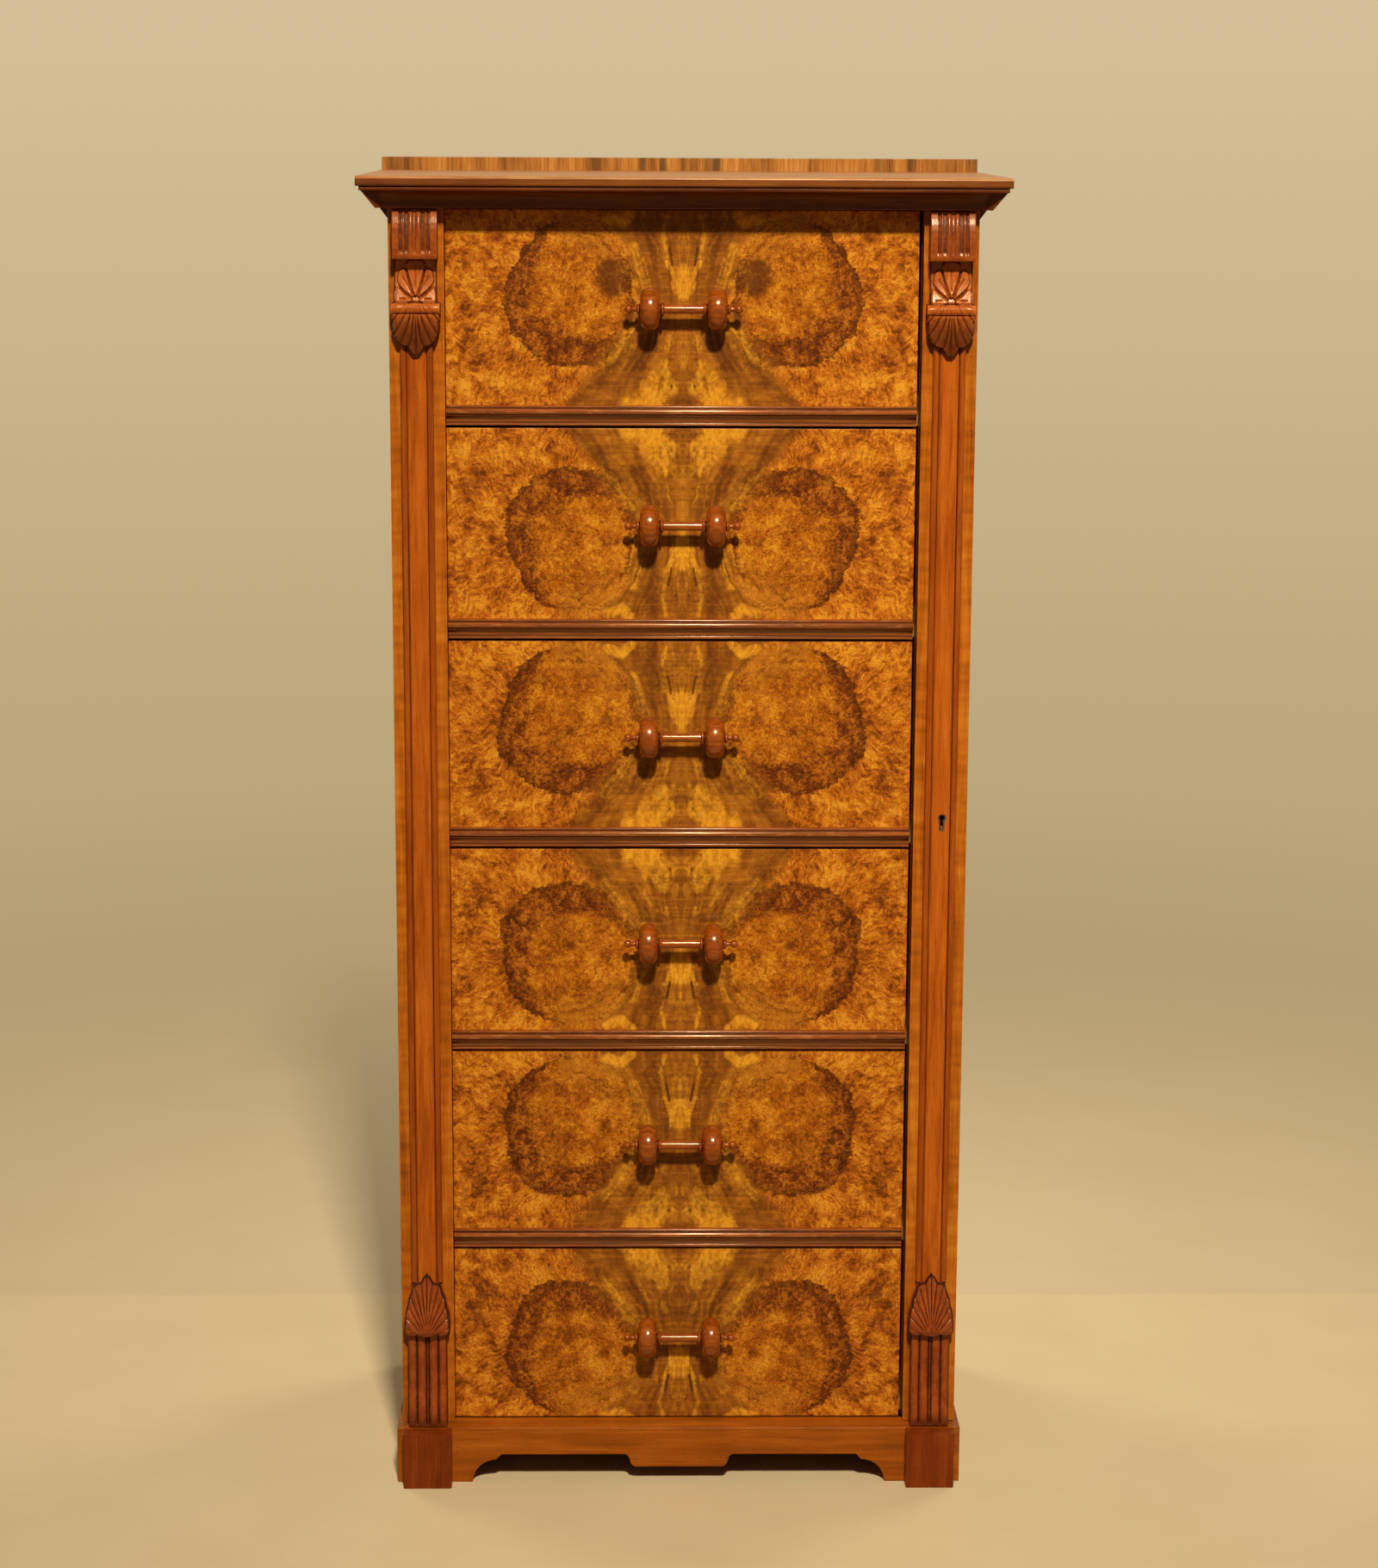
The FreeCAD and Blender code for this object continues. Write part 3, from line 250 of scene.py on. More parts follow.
def wood(kind, name, axis, offset, band, contrast=1, coat=0.12, roughness=0.36, ripple=0, bare=False,
         quirks=False):
    """Straight-grained timber: broad bands, fine fibres, short pores, soft clouding and polish or bare dust.

    The grain runs along one axis, or along the level axes "xy" of a run that turns.
    """
    def grain(across, along):
        return tuple(along if letter in axis else across for letter in "xyz")

    light, middle, dark, pore = WOODS[kind]
    g = new_graph(name)
    here = g.place(offset)
    wavy = g.warp(here, 90, 9, 1)
    bands = g.noise(wavy, grain(band, band * 22), 3, 0.55)
    lines = g.noise(wavy, grain(band * 0.22, band * 9), 2, 0.6)
    fibres = g.noise(here, grain(0.9, 26), 2, 0.6)
    cloud = g.noise(here, 70, 2)
    level = 0.5 - 0.5 * (0.83 * contrast + 0.47)
    tone = bands * (0.55 * contrast) + lines * (0.28 * contrast) + fibres * 0.22 + cloud * 0.25 + level
    if ripple:
        tone = tone + (g.noise(here, grain(60, 8.5), 1.5) - 0.5) * ripple
    colour = g.ramp(tone, (0.28, *dark), (0.5, *middle), (0.72, *light))
    pits = g.step(g.noise(here, grain(0.5, 7), 1), 0.62, 0.74)
    # Painted highlight and rubbing: the eased arrises are taken paler in patches
    arris_sheen_and_rubbing = g.attribute("wear_and_sheen", "Fac") * g.step(g.noise(here, 9), 0.4, 0.62)
    colour = g.stain(colour, (pits * 0.55, *pore), (arris_sheen_and_rubbing * 0.55, *light))
    if quirks:
        # Painted shade in the quirks beside the pilaster strip's field and at its outer edges, and painted shade
        # that darkens each bead between them
        far = abs(abs(g.split(g.place())[0]) - PILASTER_X)
        inner = g.step(abs(far - 9.4), 1.1, 0.5)
        quirk_shade = g.math("MAXIMUM", inner, g.step(far, 14, 15) * 0.6)
        beads = g.step(far, 10, 10.8) * g.step(far, 14.6, 14)
        patchy = 0.55 + g.noise(here, (6, 6, 60), 2) * 0.6
        colour = g.stain(colour, (beads * 0.34, 112, 38, 10), (quirk_shade * patchy * 0.75, 88, 30, 9))
    smudge = g.noise(here, 34, 4, 0.6)
    rough = roughness - 0.08 + smudge * 0.16 + pits * 0.12
    normal = g.bump(fibres * 0.5 + pits * -1 + smudge * 0.6, 0.1 if bare else 0.045)
    return g.surface(colour, rough, normal, 0.13, coat, 0.22)


def top_board_wood(name):
    """The top: reddish walnut painted paler on its upper face and darker at its edge for light and shade, with a
    golden line of painted highlight and rubbing along the arris.
    """
    g = new_graph(name)
    here = g.place((60, 33, 0))
    _, y, z = g.split(g.place())
    bands = g.noise(g.warp(here, 80, 8, 1), (260, 13, 13), 3, 0.6)
    fibres = g.noise(here, (24, 0.9, 0.9), 2, 0.6)
    tone = bands * 0.6 + fibres * 0.2 + g.noise(here, 60, 2) * 0.25 - 0.03
    # Painted light and shade: the upper face is lit paler and the front edge shaded darker
    face = g.ramp(tone, (0.3, 136, 76, 34), (0.5, 180, 110, 52), (0.7, 206, 138, 70))
    edge = g.ramp(tone, (0.3, 86, 40, 15), (0.5, 120, 62, 22), (0.7, 152, 86, 30))
    colour = g.mix(g.step(z, TOP_ARRIS - 1.5, TOP_ARRIS + 0.5), edge, face)
    front = g.step(y, TOP_FRONT, TOP_FRONT - 3.5)
    streaks = g.step(g.noise(here, (40, 2, 2), 3, 0.6), 0.46, 0.6)
    chips = g.step(g.noise(here, (2.4, 2, 2), 2), 0.7, 0.76)
    # Painted highlight and rubbing along the front arris, and dark chips in it
    colour = g.stain(colour, (front * g.step(z, TOP_ARRIS - 1.4, TOP_ARRIS) * streaks * 0.4, 214, 158, 96),
                     (front * chips * g.step(z, TOP_ARRIS - 3, TOP_ARRIS) * 0.7, 84, 42, 18))
    rough = 0.26 + g.noise(here, 34, 4, 0.6) * 0.18
    return g.surface(colour, rough, g.bump(fibres, 0.04), 0.13, 0.15)


JOINT_SPACING = 96


def crossbanded_wood(name):
    """The upstand's veneer: short upright grain with dark stripes and a joint now and then."""
    g = new_graph(name)
    here = g.place((31, 7, 0))
    x, y, z = g.split(here)
    flat = g.join(x, y * 0.1, z * 0.05)
    broad = g.noise(flat, 22, 3, 0.6)
    tone = g.noise(flat, 2.2, 3, 0.65) * 0.5 + broad * 0.8 - 0.15
    colour = g.ramp(tone, (0.34, 120, 74, 32), (0.47, 166, 104, 42), (0.58, 192, 126, 52), (0.72, 216, 156, 80))
    patch = g.step(g.noise(flat, 19, 1), 0.6, 0.72)
    seam = g.step(abs(g.math("FRACT", x * (1 / JOINT_SPACING)) - 0.5), 0.006, 0.002)
    colour = g.stain(colour, (patch * 0.8, 76, 58, 34), (seam * 0.5, 72, 38, 16))
    normal = g.bump(g.noise(here, (0.6, 0.6, 12), 2), 0.03)
    return g.surface(colour, 0.34 + broad * 0.14, normal, 0.13, 0.12)


def carved_wood(name, light, middle, dark, hollow_colour, low, high):
    """Carved walnut: painted highlight on the high places, painted shade and grime in the hollows, and painted
    shade that makes it darker below than above two levels.
    """
    g = new_graph(name)
    here = g.place()
    cloud = g.noise(here, 16, 3, 0.6)
    fibres = g.noise(here, (1, 1, 14), 3, 0.6)
    colour = g.ramp(cloud * 0.5 + fibres * 0.5, (0.32, *dark), (0.5, *middle), (0.68, *light))
    depth = g.attribute("hollow", "Fac") + (g.noise(here, 3) - 0.5) * 0.35
    # Painted shade and grime in the hollows, painted highlight on the high places and painted shade below the lower
    # level
    colour = g.stain(colour, (g.step(depth, 0.5, 0.86) * 0.92, *hollow_colour),
                     (g.step(depth, 0.44, 0.22) * 0.55, *light),
                     (g.step(g.split(here)[2], high, low) * 0.72, 72, 25, 7))
    normal = g.bump(fibres * 0.4 + g.noise(here, 2.4, 2), 0.1)
    rough = 0.22 + cloud * 0.12 + g.step(depth, 0.5, 0.9) * 0.45
    return g.surface(colour, rough, normal, 0.3, 0.05, 0.12)


def moulded_wood(name):
    """Drawer mouldings: red-brown wood with a good polish, painted shade in the quirks and the cove, and paler
    patches of painted highlight and rubbing on the raised parts.
    """
    g = new_graph(name)
    here = g.place((12, 5, 70))
    bands = g.noise(g.warp(here, 60, 6, 1), (90, 3, 3), 3, 0.6)
    fibres = g.noise(here, (22, 0.8, 0.8), 2, 0.6)
    colour = g.ramp(bands * 0.7 + fibres * 0.3, (0.3, 92, 40, 12), (0.5, 134, 60, 15), (0.7, 170, 88, 26))
    hollow = g.attribute("hollow", "Fac")
    # Painted highlight and rubbing in patches on the raised parts; the stain below also paints shade into the
    # quirks and the cove
    raised_sheen_and_rubbing = g.step(hollow, 0.36, 0.3) * g.step(g.noise(here, (14, 3, 3)), 0.52, 0.66)
    colour = g.stain(colour, (g.step(hollow, 0.36, 0.8) * 0.88, 56, 19, 5), (raised_sheen_and_rubbing * 0.35, 196, 124, 64))
    return g.surface(colour, 0.2 + g.noise(here, 24) * 0.12, g.bump(fibres, 0.03), 1, 0.03, 0.15)


def turned_wood(name):
    """Handles: smooth close-grained wood with rings from the lathe, a good polish and painted shade in the necks.
    """
    g = new_graph(name)
    here = g.place()
    figure = g.noise(g.warp(here, 20, 6), (26, 3.2, 3.2), 3, 0.6)
    colour = g.ramp(figure, (0.3, 112, 46, 6), (0.5, 146, 62, 7), (0.7, 170, 82, 12))
    # Painted shade in the necks beside the bobbins and the end balls
    colour = g.stain(colour, (g.step(g.attribute("hollow", "Fac"), 0.4, 0.95) * 0.85, 46, 17, 7))
    rings = g.noise(here, (0.35, 40, 40), 1)
    return g.surface(colour, 0.16 + g.noise(here, 9) * 0.12, g.bump(rings, 0.03), 0.7, 0.02, 0.1)


def burr_wood(name):
    """Bookmatched burr: mottled blobs with a dark rim, burr round them and streaky wood between them.

    The leaf attribute is (distance from the middle joint, distance from the fan edge, leaf depth); figure is
    (distance outside the blob's edge, distance round it, width of its dark ring); flow is (place across the
    streaks of the middle, place along them, leaf depth); marks is (gold, dark, smooth), each from 0 to 1.
    """
    g = new_graph(name)
    leaf = g.attribute("leaf")
    edge, round_it, ring_width = g.split(g.attribute("figure"))
    gold, dark, smooth = g.split(g.attribute("marks"))
    stream, down, depth = g.split(g.attribute("flow"))

    # Blob and ring, with ragged edges
    reach = edge + ((g.noise(leaf, 11, 2, 0.6) - 0.5) * 16 + (g.noise(leaf, 2.8, 2, 0.65) - 0.5) * 8)
    inside = g.step(reach, 1, -1)
    inner_ragged = (g.noise(leaf, 8, 4, 0.65) - 0.5) * 30
    ring = inside * g.step(reach + ring_width + inner_ragged, -3.5, 3.5)

    # Marks of burr at several sizes
    swirl = g.warp(g.warp(leaf, 13, 10), 4, 4.5)
    mottle = g.noise(swirl, 4.2, 4, 0.62)
    fleck = g.noise(swirl, 1.6, 2, 0.6)
    blotch = g.noise(g.warp(leaf, 20, 14), 16, 3, 0.6)
    zone = g.noise(leaf, 42, 2)
    nicks = g.step(g.noise(g.warp(leaf, 6, 9), (3.4, 1.5, 3), 2, 0.55), 0.585, 0.665)
    contour = abs(g.noise(g.warp(leaf, 9, 7, 1), 4.4, 1, 0.4) - 0.5)
    worms = g.step(contour, 0.03, 0.004) * g.step(g.noise(leaf, 7, 1), 0.4, 0.6)
    eyes = g.cells(g.warp(leaf, 7, 5), 9)
    halo = g.step(eyes, 0.1, 0.2) * g.step(eyes, 0.4, 0.26)
    streaky = g.join(edge, round_it * 0.5, depth)
    rays = g.noise(g.warp(streaky, 12, 8), (10, 1.2, 4), 3, 0.6)

    tone = mottle * 0.32 + rays * 0.78 + blotch * 0.68 + fleck * 0.36 + zone * 0.5 - 0.82
    outside = g.ramp(tone, (0.28, 106, 50, 11), (0.41, 165, 83, 16), (0.52, 198, 109, 22), (0.68, 228, 149, 38))
    outside = g.stain(outside, (nicks * 0.52, 104, 50, 10), (worms * 0.52, 96, 44, 9))

    tone = mottle * 0.66 + blotch * 0.66 + fleck * 0.62 + zone * 0.34 - 0.65
    heart = g.ramp(tone, (0.28, 118, 56, 10), (0.43, 164, 84, 13), (0.54, 194, 108, 19), (0.7, 222, 146, 34))
    heart = g.stain(heart, (nicks * 0.42, 108, 48, 9), (worms * 0.55, 98, 44, 9), (halo * 0.24, 212, 138, 34),
                    (g.step(eyes, 0.13, 0.05) * 0.55, 84, 38, 8))

    tone = mottle * 1.1 + fleck * 0.7 + blotch * 0.8 - 0.76
    rim = g.ramp(tone, (0.28, 70, 31, 8), (0.48, 112, 51, 11), (0.62, 150, 75, 15), (0.76, 188, 106, 24))
    rim = g.stain(rim, (worms * 0.4, 70, 32, 8), (g.step(reach, -9, -1) * 0.5, 66, 28, 7))

    flow = g.join(stream + (g.noise(leaf, 26) - 0.5) * 10, down, depth)
    streams = g.noise(flow, (2.3, 60, 5), 3, 0.55)
    broad = g.noise(flow, (8.5, 90, 9), 3, 0.55)
    chatter = g.noise(g.warp(flow, 12, 4), (16, 3, 6), 2, 0.55)
    tone = streams * 0.3 + broad * 0.5 + blotch * 0.34 + mottle * 0.26 + chatter * 0.34 - 0.37
    middle = g.ramp(tone, (0.3, 106, 56, 13), (0.45, 138, 75, 17), (0.57, 168, 97, 22), (0.72, 202, 129, 33))

    calm = g.step(smooth + (g.noise(leaf, 17, 4, 0.6) - 0.5) * 1.5, 0.3, 0.7)
    colour = g.mix(calm, outside, middle)
    colour = g.mix(inside, colour, heart)
    colour = g.mix(ring, colour, rim)

    # Lines that flow round a blob where it has no ring
    wrap = g.join(reach + (g.noise(leaf, 14, 2) - 0.5) * 8, round_it, depth)
    lines = g.step(g.noise(wrap, (1.9, 44, 5), 3, 0.6), 0.5, 0.66)
    loose = g.math("MAXIMUM", smooth, g.step(ring_width, 3, -2))
    near = g.step(edge, 15, 1) * g.step(edge, -30, -10) * loose
    colour = g.stain(colour, (near * 0.3, 166, 92, 20), (near * lines * 0.6, 92, 44, 11),
                     (near * g.step(lines, 0.25, 0) * 0.22, 222, 146, 40))

    # Gold and dark places, with edges that follow the figure
    soft = (broad - 0.5) * 0.9 + (mottle - 0.5) * 0.8 + (blotch - 0.5) * 0.7 + (streams - 0.5) * 0.5
    yellow = g.mix(g.step(mottle * 0.5 + streams * 0.5, 0.36, 0.62), srgb(204, 124, 25), srgb(240, 164, 38))
    colour = g.mix(g.step(gold + soft, 0.14, 0.95) * 0.86, colour, yellow)
    colour = g.stain(colour, (g.step(dark + soft * -0.7, 0.2, 0.95) * 0.86, 88, 42, 11))

    rough = 0.3 + g.noise(leaf, 24, 4, 0.6) * 0.14 + fleck * 0.04
    normal = g.bump(mottle * 0.5 + fleck * 0.3 + streams * 0.2, 0.04)
    return g.surface(colour, rough, normal, 0.1, 0.1)


def metal(name, colour, dark, roughness):
    g = new_graph(name)
    here = g.place()
    cloud = g.noise(here, 6, 4, 0.65)
    scratch = g.noise(here, (9, 0.4, 0.4), 2)
    tint = g.mix(g.step(cloud, 0.42, 0.68), srgb(*colour), srgb(*dark))
    rough = roughness + cloud * 0.25 + scratch * 0.1
    return g.surface(tint, rough, g.bump(scratch + cloud, 0.05), 0.5, metal=0.9)


# Mesh helpers

def add_object(name, data):
    thing = bpy.data.objects.new(name, data)
    bpy.context.scene.collection.objects.link(thing)
    return thing


def new_piece(name, vertices, faces, smooth=True):
    """A mesh object from points in millimetres."""
    mesh = bpy.data.meshes.new(name)
    mesh.from_pydata([tuple(value * MM for value in point) for point in vertices], [], faces)
    mesh.validate()
    mesh.update()
    if smooth:
        mesh.shade_smooth()
    return add_object(name, mesh)


def quads(rows, columns, wrap=False, flip=False, start=0):
    """Faces of a grid of points that were made row by row; wrap joins the ends of each row."""
    faces = []
    for row in range(rows - 1):
        for column in range(columns if wrap else columns - 1):
            first = start + row * columns + column
            after = start + row * columns + (column + 1) % columns
            face = (first, after, after + columns, first + columns)
            faces.append((first, *face[:0:-1]) if flip else face)
    return faces


def point_attribute(piece, name, values):
    """A number or a vector for each point, for the material to read."""
    values = np.asarray(values, dtype=np.float32)
    kind, field = ("FLOAT_VECTOR", "vector") if values.ndim == 2 else ("FLOAT", "value")
    piece.data.attributes.new(name, kind, "POINT").data.foreach_set(field, values.ravel())


def sharpen(piece, degrees):
    """Keep edges crisp where faces meet at more than an angle."""
    work = bmesh.new()
    work.from_mesh(piece.data)
    for edge in work.edges:
        edge.smooth = len(edge.link_faces) == 2 and edge.calc_face_angle() < math.radians(degrees)
    work.to_mesh(piece.data)
    work.free()


WELD = 0.02
FLAT_ANGLE = math.radians(1)
ARRIS_ANGLE = math.radians(35)


def rounded_copy(node, width):
    """A copy of a CAD node with its arrises eased; the eased faces carry an attribute for painted highlight and
    rubbing on the arrises.
    """
    mesh = bpy.data.meshes.new(node + "_eased")
    work = bmesh.new()
    work.from_mesh(frame["nodes"][node].data)
    bmesh.ops.remove_doubles(work, verts=work.verts, dist=WELD * MM)
    bmesh.ops.dissolve_limit(work, angle_limit=FLAT_ANGLE, verts=work.verts, edges=work.edges)
    wear_and_sheen = work.faces.layers.float.new("wear_and_sheen")
    sharp = [edge for edge in work.edges if len(edge.link_faces) == 2 and edge.calc_face_angle() > ARRIS_ANGLE]
    eased = bmesh.ops.bevel(work, geom=sharp, offset=width * MM, segments=2, profile=0.6, affect="EDGES",
                            clamp_overlap=True)
    for face in eased["faces"]:
        face[wear_and_sheen] = 1
    bmesh.ops.triangulate(work, faces=[face for face in work.faces if len(face.verts) > 4])
    work.to_mesh(mesh)
    work.free()
    mesh.materials.clear()
    mesh.shade_smooth()
    piece = add_object(node + "_eased", mesh)
    soften = piece.modifiers.new("even shading", "WEIGHTED_NORMAL")
    soften.weight = 100
    soften.keep_sharp = True
    return piece


BODY_OF = {node: body for body, nodes in frame["record"]["behaviour"]["bodies"].items() for node in nodes}


def dress(piece, material, body):
    """The piece gets its finish and rides on a body."""
    piece.data.materials.append(material)
    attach(piece, body)


def stand_for(piece, node, material):
    """The piece takes a CAD node's place and body, and gets its finish."""
    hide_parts(node)
    dress(piece, material, BODY_OF[node])


def ease(node, width, material):
    stand_for(rounded_copy(node, width), node, material)


def paint(node, material):
    """Give a CAD node its finish."""
    for slot in frame["nodes"][node].material_slots:
        slot.link = "OBJECT"
        slot.material = material


# Curves

def unit(value):
    """The value kept from 0 to 1."""
    return np.clip(value, 0, 1)


def smoothstep(low, high, value):
    share = unit((value - low) / (high - low))
    return share * share * (3 - 2 * share)


def peak(value, place, width):
    """1 at a place, falling off to either side over about a width."""
    return np.exp(-((value - place) / width) ** 2)


def arc(middle, radius, start, end, count):
    """Points on an arc, with angles in degrees."""
    points = []
    for index in range(count + 1):
        angle = math.radians(start + (end - start) * index / count)
        points.append((middle[0] + radius[0] * math.cos(angle), middle[1] + radius[1] * math.sin(angle)))
    return points


# Drawer fronts. In the figure u is the distance from the middle joint, and v from the edge with the gold fan.

# Each drawer's blob: middle (u, v) and radii
BLOBS = ((104, 103, 60, 68), (104, 102, 61, 68), (106, 103, 68, 71),
         (106, 102, 68, 70), (105, 103, 67, 70), (105, 102, 66, 69))
BLOB_RADIUS = 67

# Gold and dark lines are (strength, width, points joined by strokes). Gold and dark spots are (strength, u, v,
# radius along u, radius along v, turn in degrees).
GOLD_LINES = (
    (0.58, 14, (58, -6), (36, 14), (16, 36)),
    (0.58, 3.4, (15, 176), (19, 160), (16, 148), (14, 138)),
    (0.8, 4.2, (14.5, 134), (12, 128), (10, 122)),
    (0.85, 8, (47, 178), (57, 169), (70, 174)),
    (0.5, 8, (46, 148), (39, 124), (34, 112)),
    (0.46, 8, (74, 34), (64, 48), (54, 62), (47, 76)),
)
GOLD_SPOTS = (
    (0.88, 34, 5, 26, 14, -30),
    (0.6, 14, 20, 14, 12, 0),
    (0.36, 5, 40, 7, 9, 0),
    (0.78, 0, 117, 14, 19, 0),
    (0.22, 0, 156, 12, 20, 0),
    (0.5, 15, 61, 6, 10, 20),
)
DARK_LINES = (
    (1, 2, (13, 147), (11.6, 139), (10.2, 131)),
    (0.56, 11, (29, 180), (28, 156), (24, 138)),
    *((0.62, 4.6, (54 - shift, 36), (42 - shift, 52), (38 - shift, 72)) for shift in (0, 7.5, 15)),
    (0.44, 12, (104, 2), (80, 24), (52, 50), (44, 74)),
)
DARK_SPOTS = (
    (0.55, 193, 51, 9, 10, 0),
    (0.5, 2, 4, 8, 7, 0),
    (0.34, 0, 63, 9, 16, 0),
    (0.65, 35, 39, 2.6, 3.2, 0),
    (0.8, 10.5, 20, 2, 2.6, 0),
    (0.7, 6.5, 157, 1.5, 2.6, 0),
)
EYE = (65, 120)

VENEER_STAND = 0.45
VENEER_SINK = 0.05
RIM = 0.4
RIM_FALL = 0.3
MESH_STEP = 2.6
FINE_STEP = 1.25
FINE_REACH = 60
MESH_ROWS = 112
LEAF_DEPTH = 1.7


def blob_fields(number, u, v):
    """Distance outside the blob's edge, distance round it, and the width of its dark ring."""
    middle_u, middle_v, radius_u, radius_v = BLOBS[number - 1]
    across = (u - middle_u) / radius_u
    up = (v - middle_v) / radius_v
    far = np.maximum(np.hypot(across, up), 0.02)
    angle = np.arctan2(up, across)
    lobes = 0.035 * np.cos(3 * angle + 0.4 + 0.5 * number) + 0.02 * np.cos(5 * angle - 1 + number)
    fan_side = unit(-up / far)
    outer_side = unit(across / far)
    far_side = unit(up / far)
    ring = 6 + 23 * fan_side ** 1.5 + 20 * outer_side ** 1.2 - 11 * far_side ** 1.5 * (1 - outer_side)
    return (far - 1 - lobes) * BLOB_RADIUS, angle * BLOB_RADIUS, ring


def spot(u, v, middle_u, middle_v, radius_u, radius_v, turn=0):
    """1 in the middle of a soft-edged ellipse and 0 outside it."""
    du = u - middle_u
    dv = v - middle_v
    cos, sin = math.cos(math.radians(turn)), math.sin(math.radians(turn))
    far = np.hypot((du * cos + dv * sin) / radius_u, (dv * cos - du * sin) / radius_v)
    return 1 - smoothstep(0.45, 1.25, far)


def stroke(u, v, start, end, width):
    """1 along a line between two points and 0 beyond its width."""
    along = np.array(end) - np.array(start)
    share = unit(((u - start[0]) * along[0] + (v - start[1]) * along[1]) / (along @ along))
    far = np.hypot(u - start[0] - share * along[0], v - start[1] - share * along[1])
    return 1 - smoothstep(0.3 * width, width, far)


def strongest(u, v, lines, spots):
    """At each point the strongest of the lines and spots."""
    marks = [strength * stroke(u, v, start, end, width)
             for strength, width, *points in lines for start, end in zip(points[:-1], points[1:])]
    marks += [strength * spot(u, v, *place) for strength, *place in spots]
    return np.max(marks, axis=0)


def waist(v):
    """Half the width of the smooth middle: narrow between the blobs, wide at both edges."""
    fan = unit((95 - v) / 95)
    slit = unit((v - 95) / 80)
    return 40 + 72 * fan ** 1.1 + 36 * slit ** 2.2


def veneer_marks(number, u, v):
    """Gold, dark and smooth-grained places; the eye beside the handle is solid on the top drawer alone."""
    gold = strongest(u, v, GOLD_LINES, GOLD_SPOTS)
    eye = spot(u, v, *EYE, 24, 22)
    eye = 0.84 * eye if number == 1 else 0.52 * (eye - spot(u, v, *EYE, 15, 13))
    dark = np.maximum(strongest(u, v, DARK_LINES, DARK_SPOTS), eye)
    return gold, dark, 1 - smoothstep(0.72, 1.28, u / waist(v))


def make_veneer(number, material):
    """The bookmatched leaf on a drawer front, with a hair of rounding at its edges."""
    low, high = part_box("drawer_%d_front" % number)
    foot = low[2] / MM + (MOULDING_HEIGHT if number < BOTTOM_DRAWER else 0)
    top = high[2] / MM
    xs = np.concatenate([[FRONT_LEFT, FRONT_LEFT + RIM], np.arange(FRONT_LEFT + 3, -FINE_REACH, MESH_STEP),
                         np.arange(-FINE_REACH, FINE_REACH + 0.01, FINE_STEP),
                         np.arange(FINE_REACH + MESH_STEP, FRONT_RIGHT - 1.5, MESH_STEP),
                         [FRONT_RIGHT - RIM, FRONT_RIGHT]])
    zs = np.concatenate([[foot, foot + RIM], np.linspace(foot + 2, top - 2, MESH_ROWS), [top - RIM, top]])
    face = DRAWER_FACE - VENEER_STAND
    vertices = []
    for z in zs:
        for x in xs:
            at_edge = z in (zs[0], zs[-1]) or x in (xs[0], xs[-1])
            vertices.append((x, face + RIM_FALL if at_edge else face, z))
    count, size = len(xs), len(vertices)
    faces = quads(len(zs), count)
    border = [*range(count), *range(2 * count - 1, size, count), *range(size - 2, size - count - 1, -1),
              *range(size - 2 * count, 0, -count)]
    vertices += [(vertices[index][0], DRAWER_FACE + VENEER_SINK, vertices[index][2]) for index in border]
    for index, corner in enumerate(border):
        after = (index + 1) % len(border)
        faces.append((corner, size + index, size + after, border[after]))
    faces.append(tuple(range(size, len(vertices))))
    piece = new_piece("drawer_%d_veneer" % number, vertices, faces)
    sharpen(piece, 50)

    points = np.array(vertices)
    u = np.abs(points[:, 0])
    fan_up = number % 2 == 0
    v = top - points[:, 2] if fan_up else points[:, 2] - foot
    depth = np.full_like(u, number * LEAF_DEPTH)
    for name, fields in (("leaf", (u, v, depth)), ("figure", blob_fields(number, u, v)),
                         ("flow", (u / waist(v) * 40, v, depth)), ("marks", veneer_marks(number, u, v))):
        point_attribute(piece, name, np.stack(fields, axis=1))
    dress(piece, material, "drawer_%d" % number)


# Turned handles

# Right half of the bar, from its middle to the end of the ball, as (x, radius)
HANDLE_HALF = [
    (0, 4.15), (8, 4.3), (14, 4.2), (17.8, 4.1),
    *arc((19.4, 4.3), (1.5, 2.6), 180, 20, 8),
    (21.4, 5), (21.95, 5.8), (22, 8), (22, 10.6),
    *arc((30.2, 11.2), (8.15, 8.35), 176, 92, 14),
    (31, 19.6),
    *arc((31.8, 11.2), (8.15, 8.35), 88, 4, 14),
    (40, 10.6), (40, 8), (40.05, 5.4), (40.4, 4.4),
    *arc((41.7, 3), (1.5, 1.9), 150, 10, 7),
    (43.6, 2.3), (45, 2.15), (46.4, 2.2),
    *arc((50.6, 0), (3.8, 3.8), 150, 0, 14),
]
HANDLE_STAND = 18.7
HANDLE_SIDES = 72


